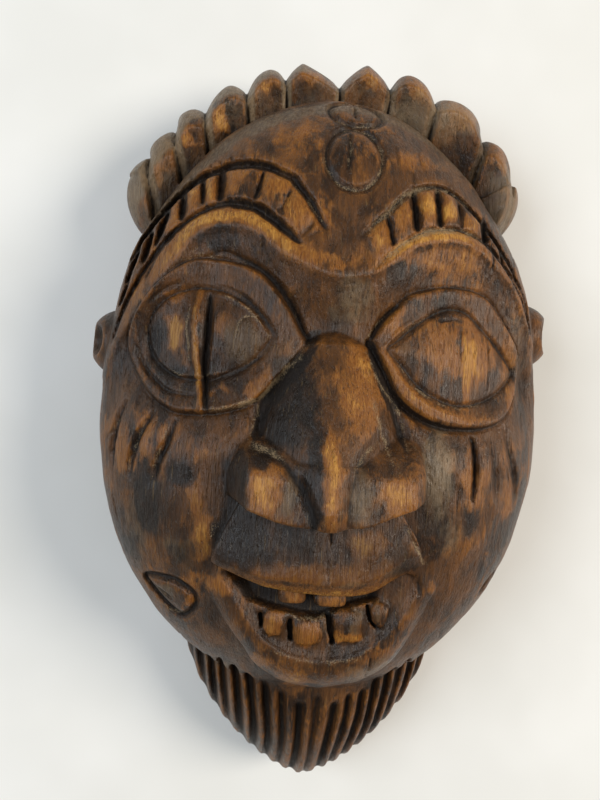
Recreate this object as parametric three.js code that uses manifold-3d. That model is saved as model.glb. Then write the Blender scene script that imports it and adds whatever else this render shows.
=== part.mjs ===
// A carved wooden face mask, lying on its back with the face up. Millimetres, +Z up, +Y towards the hair.
// One piece of wood: a domed face, almond eyes, segmented brows, a broad nose, an open mouth with teeth,
// pleated hair, small ears and a fluted beard. The back is flat and hollowed out.
// The origin is on the flat back, under the middle of the mask.
import * as THREE from "three";
import { mergeVertices } from "three/addons/utils/BufferGeometryUtils.js";
import Module from "manifold-3d";

const wasm = await Module();
wasm.setup();

// Driving dimensions. Points are [x, y]; heights are above the flat back.
const FACE = {
  halfWidth: 86,
  forehead: 127,
  chin: 105,
  widestAt: 32,
  crown: 82,
  power: 2.3,
  backShare: 0.94,
};
const HOLLOW = { halfWidth: 68, forehead: 108, chin: 88, depth: 62, power: 2.3 };
const EAR = { x: 81, y: [27, 40], z: 28, radii: [13, 14, 17] };
const BEARD = {
  centreX: 2,
  topY: -92,
  halfWidth: 50,
  length: 59,
  locks: 17,
  topZ: 54,
  edgeZ: 15,
  lockDepth: 3.2,
};
const NOSE = { centreX: -1, bridgeY: 28, tipY: -30, tipZ: 102, wingX: 18, wingRadii: [14, 20, 22] };

// Hair seen from the front: pleats fan out round a centre. Each pair is [degrees from +Y, radius].
const HAIR = {
  centreY: 62,
  innerRadius: 50,
  ends: [[-82, 76], [73.5, 79]],
  tips: [
    [-71, 88.5], [-56, 88], [-43.5, 87], [-31, 87], [-19.5, 87], [-10, 87], [8, 88.3], [22, 91], [38, 92],
    [53, 92], [65, 88.5],
  ],
  gaps: [
    [-62.5, 84.5], [-50, 83], [-38.5, 82], [-26, 80.5], [-14.6, 81.5], [0.7, 76], [14.6, 81.5], [28.5, 85.5],
    [45.5, 87], [60, 86],
  ],
  levels: [
    { z: 0, inset: 3 },
    { z: 12, inset: 0.5 },
    { z: 26, inset: 0 },
    { z: 36, inset: 4 },
    { z: 41, inset: 10 },
    { z: 32, inset: 18 },
  ],
};

// Eyes: the outer edge of the lid and the edge of the eyeball, each from the corner by the nose.
const EYES = [
  {
    lid: [
      [-9, 28], [-15, 38], [-26, 47.5], [-41, 54], [-54, 51], [-65, 40], [-71, 24], [-66, 14], [-57, 7.5],
      [-42, 2], [-25, 7.5], [-14.5, 18],
    ],
    ball: [
      [-21, 29], [-29, 37], [-42.5, 43], [-58, 36.5], [-64, 26.5], [-57, 17.5], [-43, 13.5], [-29.5, 20],
    ],
    slit: [[-44, 45], [-43.5, 26], [-42, 3]],
    slitWidth: 3.4,
  },
  {
    lid: [
      [9.5, 27.5], [18, 39.5], [28, 47.5], [38, 50.5], [55, 46], [67, 35], [70.5, 24], [65, 11], [55, 4],
      [44, 1], [26.5, 7], [15.5, 16.5],
    ],
    ball: [
      [19.5, 26], [28.5, 36], [42.5, 41], [55.5, 35], [65.5, 26], [56, 14], [43, 9], [29.5, 16],
    ],
    slit: [[46, 38], [47, 26], [46.5, 13]],
    slitWidth: 2.2,
  },
];

// The sunk zones under the brows: one round each eye, and one over the root of the nose.
const SUNK = [
  [
    [0, 30], [-4, 46], [-17, 58], [-30, 65], [-45, 66], [-58, 57], [-70, 43], [-77, 22], [-70, 6], [-54, -2],
    [-38, -5], [-20, 2], [-6, 14],
  ],
  [
    [0, 30], [4, 46], [17, 56], [30, 62], [44, 63], [56, 57], [68, 45], [76, 24], [70, 6], [54, -2],
    [38, -4], [22, 3], [6, 15],
  ],
  [[-17, 32], [-12, 46], [0, 53], [12, 47], [18, 33], [10, 20], [-9, 20]],
];

const endReach = (y, up, down) => (y > 0 ? up : down);

// Height of the plain domed face over the point (x, y), without any carving.
function faceZ(x, y) {
  const reach = Math.min(1, Math.hypot(x / FACE.halfWidth, y / endReach(y, FACE.forehead, FACE.chin)));
  return FACE.widestAt + (FACE.crown - FACE.widestAt) * (1 - reach ** FACE.power) ** (1 / FACE.power);
}

// Solid modelling helpers.

// A closed geometry as a manifold-3d solid that faces out.
function solid(geometry) {
  const bare = geometry.clone();
  bare.deleteAttribute("normal");
  bare.deleteAttribute("uv");
  const merged = mergeVertices(bare, 1e-4);
  const triVerts = new Uint32Array(merged.index.array);
  const vertProperties = merged.attributes.position.array;
  const made = new wasm.Manifold(new wasm.Mesh({ numProp: 3, vertProperties, triVerts }));
  if (made.volume() > 0) return made;
  for (let i = 0; i < triVerts.length; i += 3) {
    const first = triVerts[i];
    triVerts[i] = triVerts[i + 1];
    triVerts[i + 1] = first;
  }
  return new wasm.Manifold(new wasm.Mesh({ numProp: 3, vertProperties, triVerts }));
}

function union(solids) {
  return solids.reduce((sum, next) => sum.add(next));
}

// A lathe turned from `profile` ([radius, height] pairs), with every point then put where `place` says.
function turned(profile, segments, place) {
  const points = profile.map(([radius, height]) => new THREE.Vector2(radius, height));
  const geometry = new THREE.LatheGeometry(points, segments);
  const position = geometry.attributes.position;
  for (let i = 0; i < position.count; i++) {
    const [across, height, along] = [position.getX(i), position.getY(i), position.getZ(i)];
    position.setXYZ(i, ...place(across, along, height));
  }
  return solid(geometry);
}

// A solid through a row of rings, all with the same number of points, capped at the ends unless it is a loop.
function skin(rings, loop = false) {
  const size = rings[0].length;
  const index = [];
  for (let i = 0; i < (loop ? rings.length : rings.length - 1); i++)
    for (let j = 0; j < size; j++) {
      const next = (i + 1) % rings.length;
      const [a, b] = [i * size + j, i * size + ((j + 1) % size)];
      const [c, d] = [next * size + ((j + 1) % size), next * size + j];
      index.push(a, b, c, a, c, d);
    }
  if (!loop) {
    const lastRing = (rings.length - 1) * size;
    for (let j = 1; j < size - 1; j++) index.push(0, j + 1, j, lastRing, lastRing + j, lastRing + j + 1);
  }
  const geometry = new THREE.BufferGeometry();
  geometry.setAttribute("position", new THREE.Float32BufferAttribute(rings.flat(2), 3));
  geometry.setIndex(index);
  return solid(geometry);
}

function smoothLine(points, closed) {
  const flat = points.map(([x, y]) => new THREE.Vector3(x, y, 0));
  return new THREE.CatmullRomCurve3(flat, closed, "centripetal");
}

// A bar along a smooth line over the face. `section(t)` gives [across, height over the face] pairs.
function bar(line, steps, section, loop = false) {
  const curve = smoothLine(line, loop);
  const rings = [];
  for (let i = 0; i < (loop ? steps : steps + 1); i++) {
    const t = i / steps;
    const at = curve.getPointAt(t);
    const way = curve.getTangentAt(t);
    rings.push(
      section(t).map(([across, over]) => {
        const [x, y] = [at.x - way.y * across, at.y + way.x * across];
        return [x, y, faceZ(x, y) + over];
      }),
    );
  }
  return skin(rings, loop);
}

// A V-shaped cut along a line over the face, which runs out at both ends.
function groove(line, halfWidth, depth, steps = 6) {
  const lift = 3;
  return bar(line, steps, (t) => {
    const full = 0.15 + 0.85 * Math.sqrt(Math.sin(Math.PI * t));
    const open = halfWidth * full * (1 + lift / depth);
    return [[-open, lift], [0, -depth * full], [open, lift]];
  });
}

// Main forms.
function domed(base, top, power, rows) {
  const profile = [];
  for (let i = 0; i <= rows; i++) {
    const turn = (Math.PI / 2) * (i / rows);
    const [reach, rise] = [Math.cos(turn) ** (2 / power), Math.sin(turn) ** (2 / power)];
    profile.push([i === rows ? 0 : reach, base + (top - base) * rise]);
  }
  return profile;
}

const eggPlace = (size) => (across, along, height) =>
  [across * size.halfWidth, along * endReach(along, size.forehead, size.chin), height];

function faceBlock() {
  const wall = [[0, 0], [FACE.backShare, 0], [0.985, FACE.widestAt * 0.45]];
  const dome = domed(FACE.widestAt, FACE.crown, FACE.power, 7);
  return turned([...wall, ...dome], 42, eggPlace(FACE));
}

function hollow() {
  const floor = -4;
  const dome = domed(0, HOLLOW.depth, HOLLOW.power, 5);
  return turned([[0, floor], [1, floor], ...dome], 28, eggPlace(HOLLOW));
}

// Hair: one crest of pleats, each with a ridge that bends over to the face at the front.
function hairCrest() {
  const { ends, tips, gaps, levels, innerRadius, centreY } = HAIR;
  const shoulder = ([angle, radius], [nextAngle, nextRadius], share) =>
    [angle + (nextAngle - angle) * share, radius + (nextRadius - radius) * share ** 1.7];
  const lows = [ends[0], ...gaps, ends[1]];
  const outline = tips.flatMap((tip, i) =>
    [lows[i], shoulder(tip, lows[i], 0.5), tip, shoulder(tip, lows[i + 1], 0.5)]).concat([ends[1]]);
  const [first, last] = [ends[0][0], ends[1][0]];
  for (let i = 4; i >= 0; i--) outline.push([first + ((last - first) * i) / 4, innerRadius]);
  const shape = new THREE.Shape(outline.map(([angle, radius]) => {
    const turn = THREE.MathUtils.degToRad(angle);
    return new THREE.Vector2(radius * Math.sin(turn), radius * Math.cos(turn));
  }));
  const steps = levels.length - 1;
  const geometry = new THREE.ExtrudeGeometry(shape, { depth: steps, steps, bevelEnabled: false });
  const position = geometry.attributes.position;
  for (let i = 0; i < position.count; i++) {
    const [x, y] = [position.getX(i), position.getY(i)];
    const radius = Math.hypot(x, y);
    const step = Math.round(position.getZ(i));
    if (radius < innerRadius + 1) {
      position.setXYZ(i, x, centreY + y, (levels[steps].z * step) / steps);
      continue;
    }
    const { z, inset } = levels[step];
    const share = (radius - inset) / radius;
    const sunk = Math.max(0, z - 24) * THREE.MathUtils.clamp((89 - radius) * 0.05, 0, 0.4);
    position.setXYZ(i, x * share, centreY + y * share, z - sunk);
  }
  return solid(geometry);
}

function ears() {
  return EAR.y.map((y, i) => {
    const side = i === 0 ? -1 : 1;
    const lug = new THREE.SphereGeometry(1, 12, 8);
    lug.scale(...EAR.radii).translate(side * EAR.x, y, EAR.z);
    const shell = new THREE.SphereGeometry(1, 8, 6);
    shell.scale(8, 8, 12).translate(side * (EAR.x + 11), y, EAR.z + 12);
    return solid(lug).subtract(solid(shell));
  });
}

// Beard: locks side by side, from under the chin down to the back.
function beardZ(x, y) {
  const across = (x - BEARD.centreX) / (BEARD.halfWidth + 2);
  const reach = Math.hypot(across, Math.min(0, y - BEARD.topY) / BEARD.length);
  return BEARD.edgeZ + (BEARD.topZ - BEARD.edgeZ) * Math.max(0, 1 - reach ** 2.2) ** 0.8;
}

function beardLocks() {
  const steps = 4;
  const halfWidth = (BEARD.halfWidth / BEARD.locks) * 1.15;
  return Array.from({ length: BEARD.locks }, (_, k) => {
    const side = (2 * (k + 0.5)) / BEARD.locks - 1;
    const bottom = BEARD.topY - BEARD.length * Math.sqrt(1 - side * side) + 1.5;
    const top = BEARD.topY + 14;
    const rings = [];
    for (let i = 0; i <= steps; i++) {
      const t = i / steps;
      const y = top + (bottom - top) * t;
      const x = BEARD.centreX + BEARD.halfWidth * side * (1 - 0.1 * t * t);
      const ridge = Math.max(6, beardZ(x, Math.max(y, bottom + 3)));
      const flank = ridge - BEARD.lockDepth;
      rings.push([
        [x - halfWidth, y, 0],
        [x + halfWidth, y, 0],
        [x + halfWidth, y, flank],
        [x + halfWidth * 0.35, y, ridge],
        [x - halfWidth * 0.35, y, ridge],
        [x - halfWidth, y, flank],
      ]);
    }
    return skin(rings);
  });
}

// The nose: a broad rounded wedge that starts at a crease between the eyes, with a wing on each side.
function nose() {
  const stations = [
    { y: NOSE.bridgeY, half: 8, z: 80 },
    { y: 20, half: 14, z: 83.5 },
    { y: 10, half: 20, z: 88 },
    { y: -2, half: 23.5, z: 93.5 },
    { y: -14, half: 22, z: 98.5 },
    { y: -24, half: 14, z: NOSE.tipZ - 0.5 },
    { y: NOSE.tipY, half: 11, z: NOSE.tipZ },
  ];
  const rings = stations.map(({ y, half, z }) => {
    const foot = faceZ(half, y) - 7;
    const rise = z - foot;
    const side = [[1, -12], [1, 0], [0.86, rise * 0.46], [0.6, rise * 0.8], [0.24, rise * 0.975]];
    const right = side.map(([share, over]) => [NOSE.centreX + half * share, y, foot + over]);
    const left = side.map(([share, over]) => [NOSE.centreX - half * share, y, foot + over]);
    return [...right, [NOSE.centreX + 0.5, y, z], ...left.reverse()];
  });
  const wing = (side) => {
    const geometry = new THREE.SphereGeometry(1, 10, 8);
    geometry.scale(...NOSE.wingRadii).rotateZ(side * THREE.MathUtils.degToRad(22));
    geometry.translate(NOSE.centreX + side * NOSE.wingX, -24, 73);
    return solid(geometry);
  };
  const cut = new THREE.BoxGeometry(90, 30, 60).translate(0, NOSE.tipY - 15, 100);
  return skin(rings).add(wing(-1)).add(wing(1)).subtract(solid(cut));
}

// Hollows beside the bridge of the nose, which set it off from the eyes and the forehead.
function bridgeCuts() {
  return [
    groove([[-19, 33], [-8, 29], [8, 29], [19, 33]], 5, 4.5, 4),
    groove([[-8, 31], [-17, 17], [-25, 3], [-27, -8]], 4.5, 6, 5),
    groove([[8, 31], [15, 17], [20.5, 4], [22, -8]], 4.5, 6, 5),
  ];
}

// Eyes: a sunk socket, a rounded lid and a domed eyeball with an upright slit.

// A mound or a bowl on the face: each level is [share of the outline's size, height over the face].
function mound(points, count, levels) {
  const around = smoothLine(points, true).getSpacedPoints(count).slice(0, count);
  const centre = around.reduce((sum, at) => sum.add(at), new THREE.Vector3()).divideScalar(count);
  const rings = levels.map(([share, over]) => around.map((at) => {
    const [x, y] = [centre.x + (at.x - centre.x) * share, centre.y + (at.y - centre.y) * share];
    return [x, y, faceZ(x, y) + over];
  }));
  return skin(rings);
}

// A ring between two outlines: each point of its section is [share from the outer to the inner, height].
function rim(outer, inner, count, section) {
  const [out, into] = [outer, inner].map((points) => smoothLine(points, true).getSpacedPoints(count));
  const rings = [];
  for (let i = 0; i < count; i++)
    rings.push(section.map(([share, over]) => {
      const [x, y] = [out[i].x + (into[i].x - out[i].x) * share, out[i].y + (into[i].y - out[i].y) * share];
      return [x, y, faceZ(x, y) + over];
    }));
  return skin(rings, true);
}

function sunkZone(points) {
  return mound(points, 14, [[0.25, -4.8], [0.6, -4.8], [0.86, -4.4], [1, 0.3], [1.15, 5], [0.5, 12]]);
}

function socket(eye) {
  return mound(eye.lid, 22, [[0.94, -5.5], [1.13, 0.4], [1.3, 5]]);
}

function eyelid(eye) {
  const section = [[-0.12, -9], [-0.06, -3.5], [0.3, 1.4], [0.68, 2.4], [1, -0.8], [1.02, -9]];
  return rim(eye.lid, eye.ball, 24, section);
}

function eyeball(eye) {
  return mound(eye.ball, 18, [[1.2, -10], [1.1, -4.5], [0.97, -2], [0.8, -0.2], [0.5, 1.5], [0.14, 2.1]]);
}

// Brows: a band between two cuts, notched into blocks.
const BROWS = [
  {
    upper: [[-67, 70], [-59, 78], [-49, 87], [-34, 93], [-20, 89], [-9, 77], [-4.5, 66]],
    lower: [[-76, 40], [-65, 60], [-55, 69], [-44, 76], [-33, 76], [-22, 70], [-13, 61]],
    notches: [0.12, 0.22, 0.32, 0.43, 0.56, 0.7],
  },
  {
    upper: [[8, 66], [15.5, 76], [23, 84], [33, 88], [43, 86], [53, 79], [64, 66], [73, 53]],
    lower: [[13, 55], [21, 65], [32, 71], [44, 72], [53, 70], [63, 61], [72, 49]],
    notches: [0.22, 0.38, 0.52, 0.64, 0.76, 0.86],
  },
];

function browCuts(brow) {
  const smooth = (line) => new THREE.SplineCurve(line.map(([x, y]) => new THREE.Vector2(x, y)));
  const [upper, lower] = [smooth(brow.upper), smooth(brow.lower)];
  const notches = brow.notches.map((t) => {
    const [a, b] = [upper.getPointAt(t), lower.getPointAt(t)];
    return groove([[a.x, a.y], [(a.x + b.x) / 2, (a.y + b.y) / 2], [b.x, b.y]], 1.8, 3, 2);
  });
  return [groove(brow.upper, 2.1, 3.4, 9), groove(brow.lower, 2.4, 3.8, 9), ...notches];
}

function browRib(brow) {
  const line = brow.lower.map(([x, y]) => [x * 0.97 + Math.sign(x) * 0.4, y - 5.5]);
  return bar(line, 8, (t) => {
    const full = 0.4 + 0.6 * Math.sin(Math.PI * t);
    return [[-5, -9], [-4.4 * full, -0.4], [-1, 2.2 * full], [2, 2 * full], [4.8 * full, -0.4], [5, -9]];
  });
}

// The mouth: an opening with teeth, between a broad upper lip and a cupped lower lip.
function mouthOpening() {
  const place = (across, along, height) => [1 + across * 31, -60 + along * (along > 0 ? 10 : 18), height];
  return turned([[0, 67], [0.9, 67], [1, 80], [1, 110], [0, 110]], 22, place);
}

function upperLip() {
  const line = [[-37.5, -48], [-26, -46], [-13, -45.5], [0, -45.5], [13, -45.5], [25, -45], [36, -47]];
  return bar(line, 10, (t) => {
    const full = 0.2 + 0.8 * Math.sin(Math.PI * t) ** 0.55;
    const section = [[-9.5, 3], [-6, 9], [-1, 9.5], [7, 6.5], [15, 2]];
    const raised = section.map(([across, over]) => [across * full, over * full]);
    return [[-9.5 * full, -12], ...raised, [15 * full, -12]];
  });
}

function lowerLip() {
  const line = [
    [-31, -53], [-29, -65], [-20, -78], [-9, -85], [3, -87], [16, -84.5], [26, -76.5], [33, -63], [35, -50],
  ];
  return bar(line, 14, (t) => {
    const full = 0.3 + 0.7 * Math.sin(Math.PI * t);
    const [inner, outer] = [3 + 5.5 * full, 4 + 6 * full];
    const crest = 8 + 2 * full;
    const flank = [[-outer, -14], [-outer, -2], [-outer * 0.55, 5 + full]];
    return [...flank, [0, crest], [inner * 0.7, crest], [inner, 4], [inner, -14]];
  });
}

function teeth() {
  const place = ({ x, y, width, height }) => (across, along, up) =>
    [x + (Math.cbrt(across) * width) / 2, y + (Math.cbrt(along) * height) / 2, up];
  const lower = [
    { x: -14.2, y: -66, width: 7.5, height: 12, z: 74 },
    { x: -3, y: -69, width: 10, height: 14, z: 76.5 },
    { x: 11.4, y: -68.5, width: 10, height: 14, z: 76.5 },
    { x: 21.3, y: -63, width: 6.4, height: 12, z: 74.5 },
  ].map((tooth) => {
    const { z } = tooth;
    return turned([[0, 60], [1, 60], [1, z - 2], [0.55, z], [0, z + 0.6]], 8, place(tooth));
  });
  const upper = [-9, 2, 13].map((x) => solid(new THREE.BoxGeometry(9.6, 9, 14).translate(x, -56, 71)));
  return [...lower, ...upper];
}

// Marks cut into the skin: cheek lines, and rings with a slit.
const CHEEK_LINES = [
  [[-65, 9], [-71, -3], [-73.5, -20]],
  [[-58, 2], [-64, -9], [-66.5, -23]],
  [[-50.5, 0], [-55, -12], [-57.5, -23]],
  [[47, 0], [48.8, -9.5], [49, -18]],
  [[56, 1], [57.5, -8], [60.5, -22]],
  [[64, 4], [67.5, -8], [72, -19]],
];
const RINGS = [
  { x: 4.5, y: 94, radii: [10, 12.5] },
  { x: 4.8, y: 113, radii: [9.5, 5.5] },
  { x: -51, y: -61, radii: [9.5, 9] },
  { x: 60.5, y: -54, radii: [5, 6] },
];

function ringCut({ x, y, radii }) {
  const section = [[0.84, 2], [1.02, -1.8], [1.2, 2]];
  const place = (across, along, height) => {
    const [u, v] = [x + across * radii[0], y + along * radii[1]];
    return [u, v, faceZ(u, v) + height];
  };
  const slit = groove([[x - 1, y - radii[1] * 0.5], [x, y], [x - 1, y + radii[1] * 0.6]], 1.1, 1.8, 2);
  return turned([...section, section[0]], 13, place).add(slit);
}

// The whole carving, as one solid.
function carving() {
  const head = faceBlock()
    .subtract(union(SUNK.map(sunkZone)))
    .subtract(union(EYES.map(socket)))
    .add(union(BROWS.map(browRib)))
    .subtract(union(bridgeCuts()))
    .subtract(union(BROWS.flatMap(browCuts)))
    .subtract(union(CHEEK_LINES.map((line) => groove(line, 1.5, 2.4, 3))))
    .subtract(union(RINGS.map(ringCut)));
  const slits = EYES.map((eye) => groove(eye.slit, eye.slitWidth / 2, 3.2, 5));
  const eyes = union(EYES.map(eyelid)).add(union(EYES.map(eyeball))).subtract(union(slits));
  const lips = upperLip().add(lowerLip());
  const mouth = head.add(lips).subtract(mouthOpening().subtract(upperLip()));
  return mouth
    .add(union(teeth()))
    .add(eyes)
    .add(nose())
    .add(hairCrest())
    .add(union(ears()))
    .add(union(beardLocks()))
    .subtract(hollow());
}

function meshOf(name, made, material) {
  const { numProp, vertProperties, triVerts, numVert } = made.getMesh();
  const positions = new Float32Array(numVert * 3);
  for (let i = 0; i < numVert; i++)
    positions.set(vertProperties.subarray(i * numProp, i * numProp + 3), i * 3);
  const geometry = new THREE.BufferGeometry();
  geometry.setAttribute("position", new THREE.BufferAttribute(positions, 3));
  geometry.setIndex(new THREE.BufferAttribute(triVerts, 1));
  geometry.computeVertexNormals();
  const mesh = new THREE.Mesh(geometry, material);
  mesh.name = name;
  return mesh;
}

const stainedWood = new THREE.MeshStandardMaterial({ color: 0x5a3a24, roughness: 0.55, metalness: 0 });
const mask = new THREE.Group();
mask.add(meshOf("carved_mask", carving(), stainedWood));

export default mask;
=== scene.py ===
# A carved wooden face mask lying on a pale floor, face up.
# The sculpt is worked out as one solid in millimetres, on the same axes as the model: +X to the viewer's
# right, +Y towards the hair, +Z out of the face. It is turned into one mesh in metres at the end.
import math

import bpy
import numpy as np
from mathutils import Matrix, Vector


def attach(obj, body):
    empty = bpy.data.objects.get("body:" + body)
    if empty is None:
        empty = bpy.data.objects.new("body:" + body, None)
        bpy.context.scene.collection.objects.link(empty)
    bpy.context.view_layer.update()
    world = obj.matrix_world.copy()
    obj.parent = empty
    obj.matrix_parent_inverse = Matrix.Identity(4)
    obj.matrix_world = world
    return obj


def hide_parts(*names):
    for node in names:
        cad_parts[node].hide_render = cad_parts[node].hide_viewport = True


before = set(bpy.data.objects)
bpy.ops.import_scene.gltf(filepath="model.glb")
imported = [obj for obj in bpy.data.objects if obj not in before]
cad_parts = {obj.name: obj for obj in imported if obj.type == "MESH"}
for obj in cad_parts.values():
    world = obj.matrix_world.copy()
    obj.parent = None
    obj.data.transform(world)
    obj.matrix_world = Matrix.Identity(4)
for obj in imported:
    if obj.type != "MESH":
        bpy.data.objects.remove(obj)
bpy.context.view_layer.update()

# Sizes in millimetres
STEP = 0.6
GRID_X = 97.0
GRID_Y = 153.0
GRID_TOP = 105.0
TRIANGLES = 196000
BACK_TRIANGLES = 44000
FACE = {"half_width": 86.0, "forehead": 127.0, "chin": 105.0, "widest_at": 32.0, "crown": 82.0, "power": 2.3,
        "back_share": 0.94}
HOLLOW = {"half_width": 68.0, "forehead": 108.0, "chin": 88.0, "depth": 62.0, "power": 2.3}
BEARD = {"x": 2.0, "y": -92.0, "half_width": 52.0, "length": 58.2, "top": 54.0, "edge": 19.0, "pitch": 6.3,
         "spread": 50.0, "chip": (31.0, -137.0, 4.2)}
# Each ear: its side of the head, and y of its middle
EARS = {"left": (-1, 27), "right": (1, 40)}
SCRATCHES = 150
HAIR_CENTRE = 62.0
HAIR_RADIUS = 84
# Each pleat: angle and radius of the gap before it and of its tip, and how round it is before and after
PLEATS = [(-82, 80, -68, 89.2, 3.0, 2.0), (-62, 85.3, -58.8, 87.5, 2.2, 2.0),
          (-50.4, 83.2, -46.6, 86.8, 2.2, 1.8), (-40.2, 81.2, -32.6, 85.5, 1.6, 2.0),
          (-26.9, 79.3, -19.9, 85.6, 2.0, 2.0), (-15.2, 80.0, -10.4, 85.6, 1.3, 1.15),
          (0.3, 75.7, 7.6, 86.6, 1.25, 1.2), (14.8, 79.8, 22, 88.5, 2.8, 1.8),
          (28.8, 83.0, 38.3, 90.2, 2.2, 1.7), (46.4, 84.6, 53, 89.8, 2.2, 1.6),
          (61.5, 85.8, 64, 87.6, 2.2, 1.7)]
HAIR_END = (76, 75)

# Lines that both the carving and the wear follow: the walls of the eyes' slits, and the fold of the right lid
LEFT_SLIT = [(-46.6, 44), (-47.4, 36), (-47.4, 26), (-46, 18), (-44.4, 10), (-43.6, 2)]
RIGHT_SLIT = [(46.5, 36), (46.9, 24), (47.6, 12)]
RIGHT_FOLD = [(17.4, 27.2), (20.4, 21.6), (25, 15.4), (31, 10.4), (37, 7.6), (46, 5.6)]

# Outline of each lid and eyeball, how far the lid stands up and how far the ball bulges
EYES = [
    {"lid": [(-8.5, 27.6), (-11.9, 33.5), (-15.2, 39.1), (-21.4, 47), (-25.7, 51), (-30.6, 53.6),
             (-35.9, 55), (-42.2, 55.8), (-48.3, 55.7), (-54, 53.3), (-60, 48.7), (-65.3, 43.1),
             (-69.6, 36.6), (-72.6, 29.3), (-72.6, 22.7), (-70.1, 17), (-66.3, 11.4), (-62.1, 6.7),
             (-57.4, 3.5), (-51.8, 1.5), (-44.7, 1.4), (-38.6, 2), (-32.9, 3.4), (-28, 5.3), (-23.7, 8),
             (-20.9, 11.2), (-18.2, 15), (-14.1, 19.4)],
     "ball": [(-21, 29.3), (-23.6, 33.2), (-26.1, 36.5), (-29.4, 39.4), (-33.3, 42), (-37.9, 44),
              (-43.5, 44.9), (-48.5, 44.9), (-53.8, 43.4), (-58.1, 41.3), (-61.6, 38.2), (-63.9, 33.5),
              (-64.6, 27.8), (-63.3, 22.8), (-60.7, 19), (-56.7, 16), (-52.2, 13.8), (-46.2, 13.2),
              (-41.6, 13), (-37, 14.9), (-32.4, 17.2), (-27.8, 20.1), (-25, 23)],
     "rise": 2.6, "crown": 2.3},
    {"lid": [(12.4, 28.9), (14.6, 34), (18.8, 39.7), (25, 46.8), (32.5, 49.7), (40.1, 51.3), (50.2, 51.2),
             (56.7, 49.2), (61.3, 44.7), (65.2, 40), (70.6, 31.8), (71.6, 23), (69.5, 13.5), (65, 6.5),
             (58.5, 3), (51.5, 1.5), (42, 1.3), (35, 2.5), (29, 5.3), (24, 8.8), (20, 12.8), (16.8, 18),
             (14.4, 23.4)],
     "ball": [(18.7, 27.4), (22.4, 30.7), (25.8, 34.1), (29.2, 36.8), (33.5, 40), (38.7, 42.6),
              (44.1, 43.2), (48.5, 41.9), (52.3, 38.7), (56.7, 35.2), (61.2, 31), (65.7, 26.7),
              (68.3, 22.9), (64.9, 17.9), (60, 14), (54.5, 11.2), (47.3, 9.4), (41.5, 9.7), (36.2, 11.5),
              (32.1, 13.6), (28, 17.1), (24.2, 21.6)],
     "rise": 2.4, "crown": 1.9},
]
# Ridges on the lids and balls: points, half width, height
EYE_RIDGES = [
    ([(-62, 6.9), (-66.5, 11.6), (-70.4, 17), (-72.2, 24), (-71.4, 32), (-67, 40.5), (-61, 47), (-54.5, 52.3),
      (-47, 54.6), (-38, 54.2), (-30, 52)], 1.0, 0.5),
    ([(-9.5, 26.6), (-14.8, 20), (-19.2, 14.6), (-22, 10.4), (-25.5, 7.6), (-33, 5), (-41, 3)], 1.0, 0.5),
    ([(-22, 28.8), (-26.4, 35.2), (-33, 40.6), (-41, 43.6)], 0.7, 0.7),
    ([(-36.5, 16.4), (-46, 14.6), (-53, 15.2), (-58.6, 18.8), (-62.4, 24)], 0.8, 0.5),
    (RIGHT_FOLD, 1.7, 1.2),
    ([(17.4, 27.6), (21.4, 32.8), (26.6, 37.4)], 1.1, 0.9),
    ([(11.2, 26.5), (14, 20.4), (17.6, 13.6), (21.6, 9), (27, 5)], 0.9, 0.8),
    (LEFT_SLIT, 1.6, 1.9),
    (RIGHT_SLIT, 2.2, 0.7),
]
# Tables of cuts: points, half width, depth, and the other arguments of cut_along
EYE_CREASES = [
    ([(-38.9, 58), (-34.2, 56.5), (-29.9, 54.4), (-25.7, 52), (-21.1, 48.1), (-17.5, 44.1), (-14.6, 39.8),
     (-12, 35.2), (-9.7, 30.6), (-5.8, 27.6)], 1.9, 2.3, dict(ends=0.4, taper=(0.6, 1.25))),
    ([(-43, 46), (-37.5, 45.3), (-32.5, 43), (-28, 39.6), (-24.3, 35.6), (-20.6, 31), (-19.2, 28.5)], 1.4,
     1.5, dict(ends=0.5, taper=(0.5, 1.3))),
    ([(-20.6, 28), (-24, 22.6), (-31, 17), (-38.5, 13.2)], 1.1, 1.2, dict(ends=0.5)),
    ([(-68.7, 24.5), (-65.6, 17.4), (-60.6, 12.4), (-54.7, 8.6), (-44.8, 7.6)], 1.2, 1.3, dict(ends=0.5)),
    ([(-64, 40), (-58.5, 44.6), (-53, 46.9)], 1.0, 1.0, dict(ends=0.5)),
    ([(12.8, 29), (14.7, 23.8), (17.4, 18), (20.4, 12.8), (24.4, 8.6), (29, 5.4), (35, 2.8), (42, 1.5),
     (51.5, 1.6), (58.5, 3)], 2.9, 3.9, dict(ends=0.12, taper=(1.15, 0.28), soft=0.1, ink=0.8)),
    ([(22.4, 43.2), (18.5, 39.7), (15.3, 35.3), (12.8, 29.5)], 1.9, 2.3, dict(ends=0.3)),
    ([(18, 27), (24, 32.6), (31, 38.4), (39, 42.8), (46.4, 42.9), (52.8, 38.6), (60, 32)], 1.2, 1.3,
     dict(ends=0.4)),
    ([(54, 37.6), (60, 32.2), (65, 27.4), (68.4, 22.6)], 1.5, 1.4, dict(ends=0.5)),
]
EYE_CUTS = [
    ([(-43, 42.8), (-42.9, 33.7), (-43, 26), (-43.4, 19.2), (-42.9, 13.5), (-42.3, 8.5), (-41.2, 2)], 2.4,
     4.6, dict(ends=0.4, ink=0.85, taper=(1.1, 0.6))),
    ([(-49.4, 38.5), (-50.4, 31.8), (-49.9, 24.9), (-48.3, 19.1), (-45.9, 14.8)], 0.7, 0.7),
    ([(-33.1, 28.3), (-32.4, 33.1), (-29.1, 35.6), (-24.7, 35.5)], 0.6, 0.5),
    ([(36.5, 38.1), (41.1, 39.5), (46.2, 39.1)], 0.6, 0.7),
]
# Splits in the right eyeball: x at the top and at the bottom
EYE_SPLITS = [(45.1, 46.2), (46.9, 48.4), (49.0, 50.8), (44.2, 44.8)]
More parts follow.
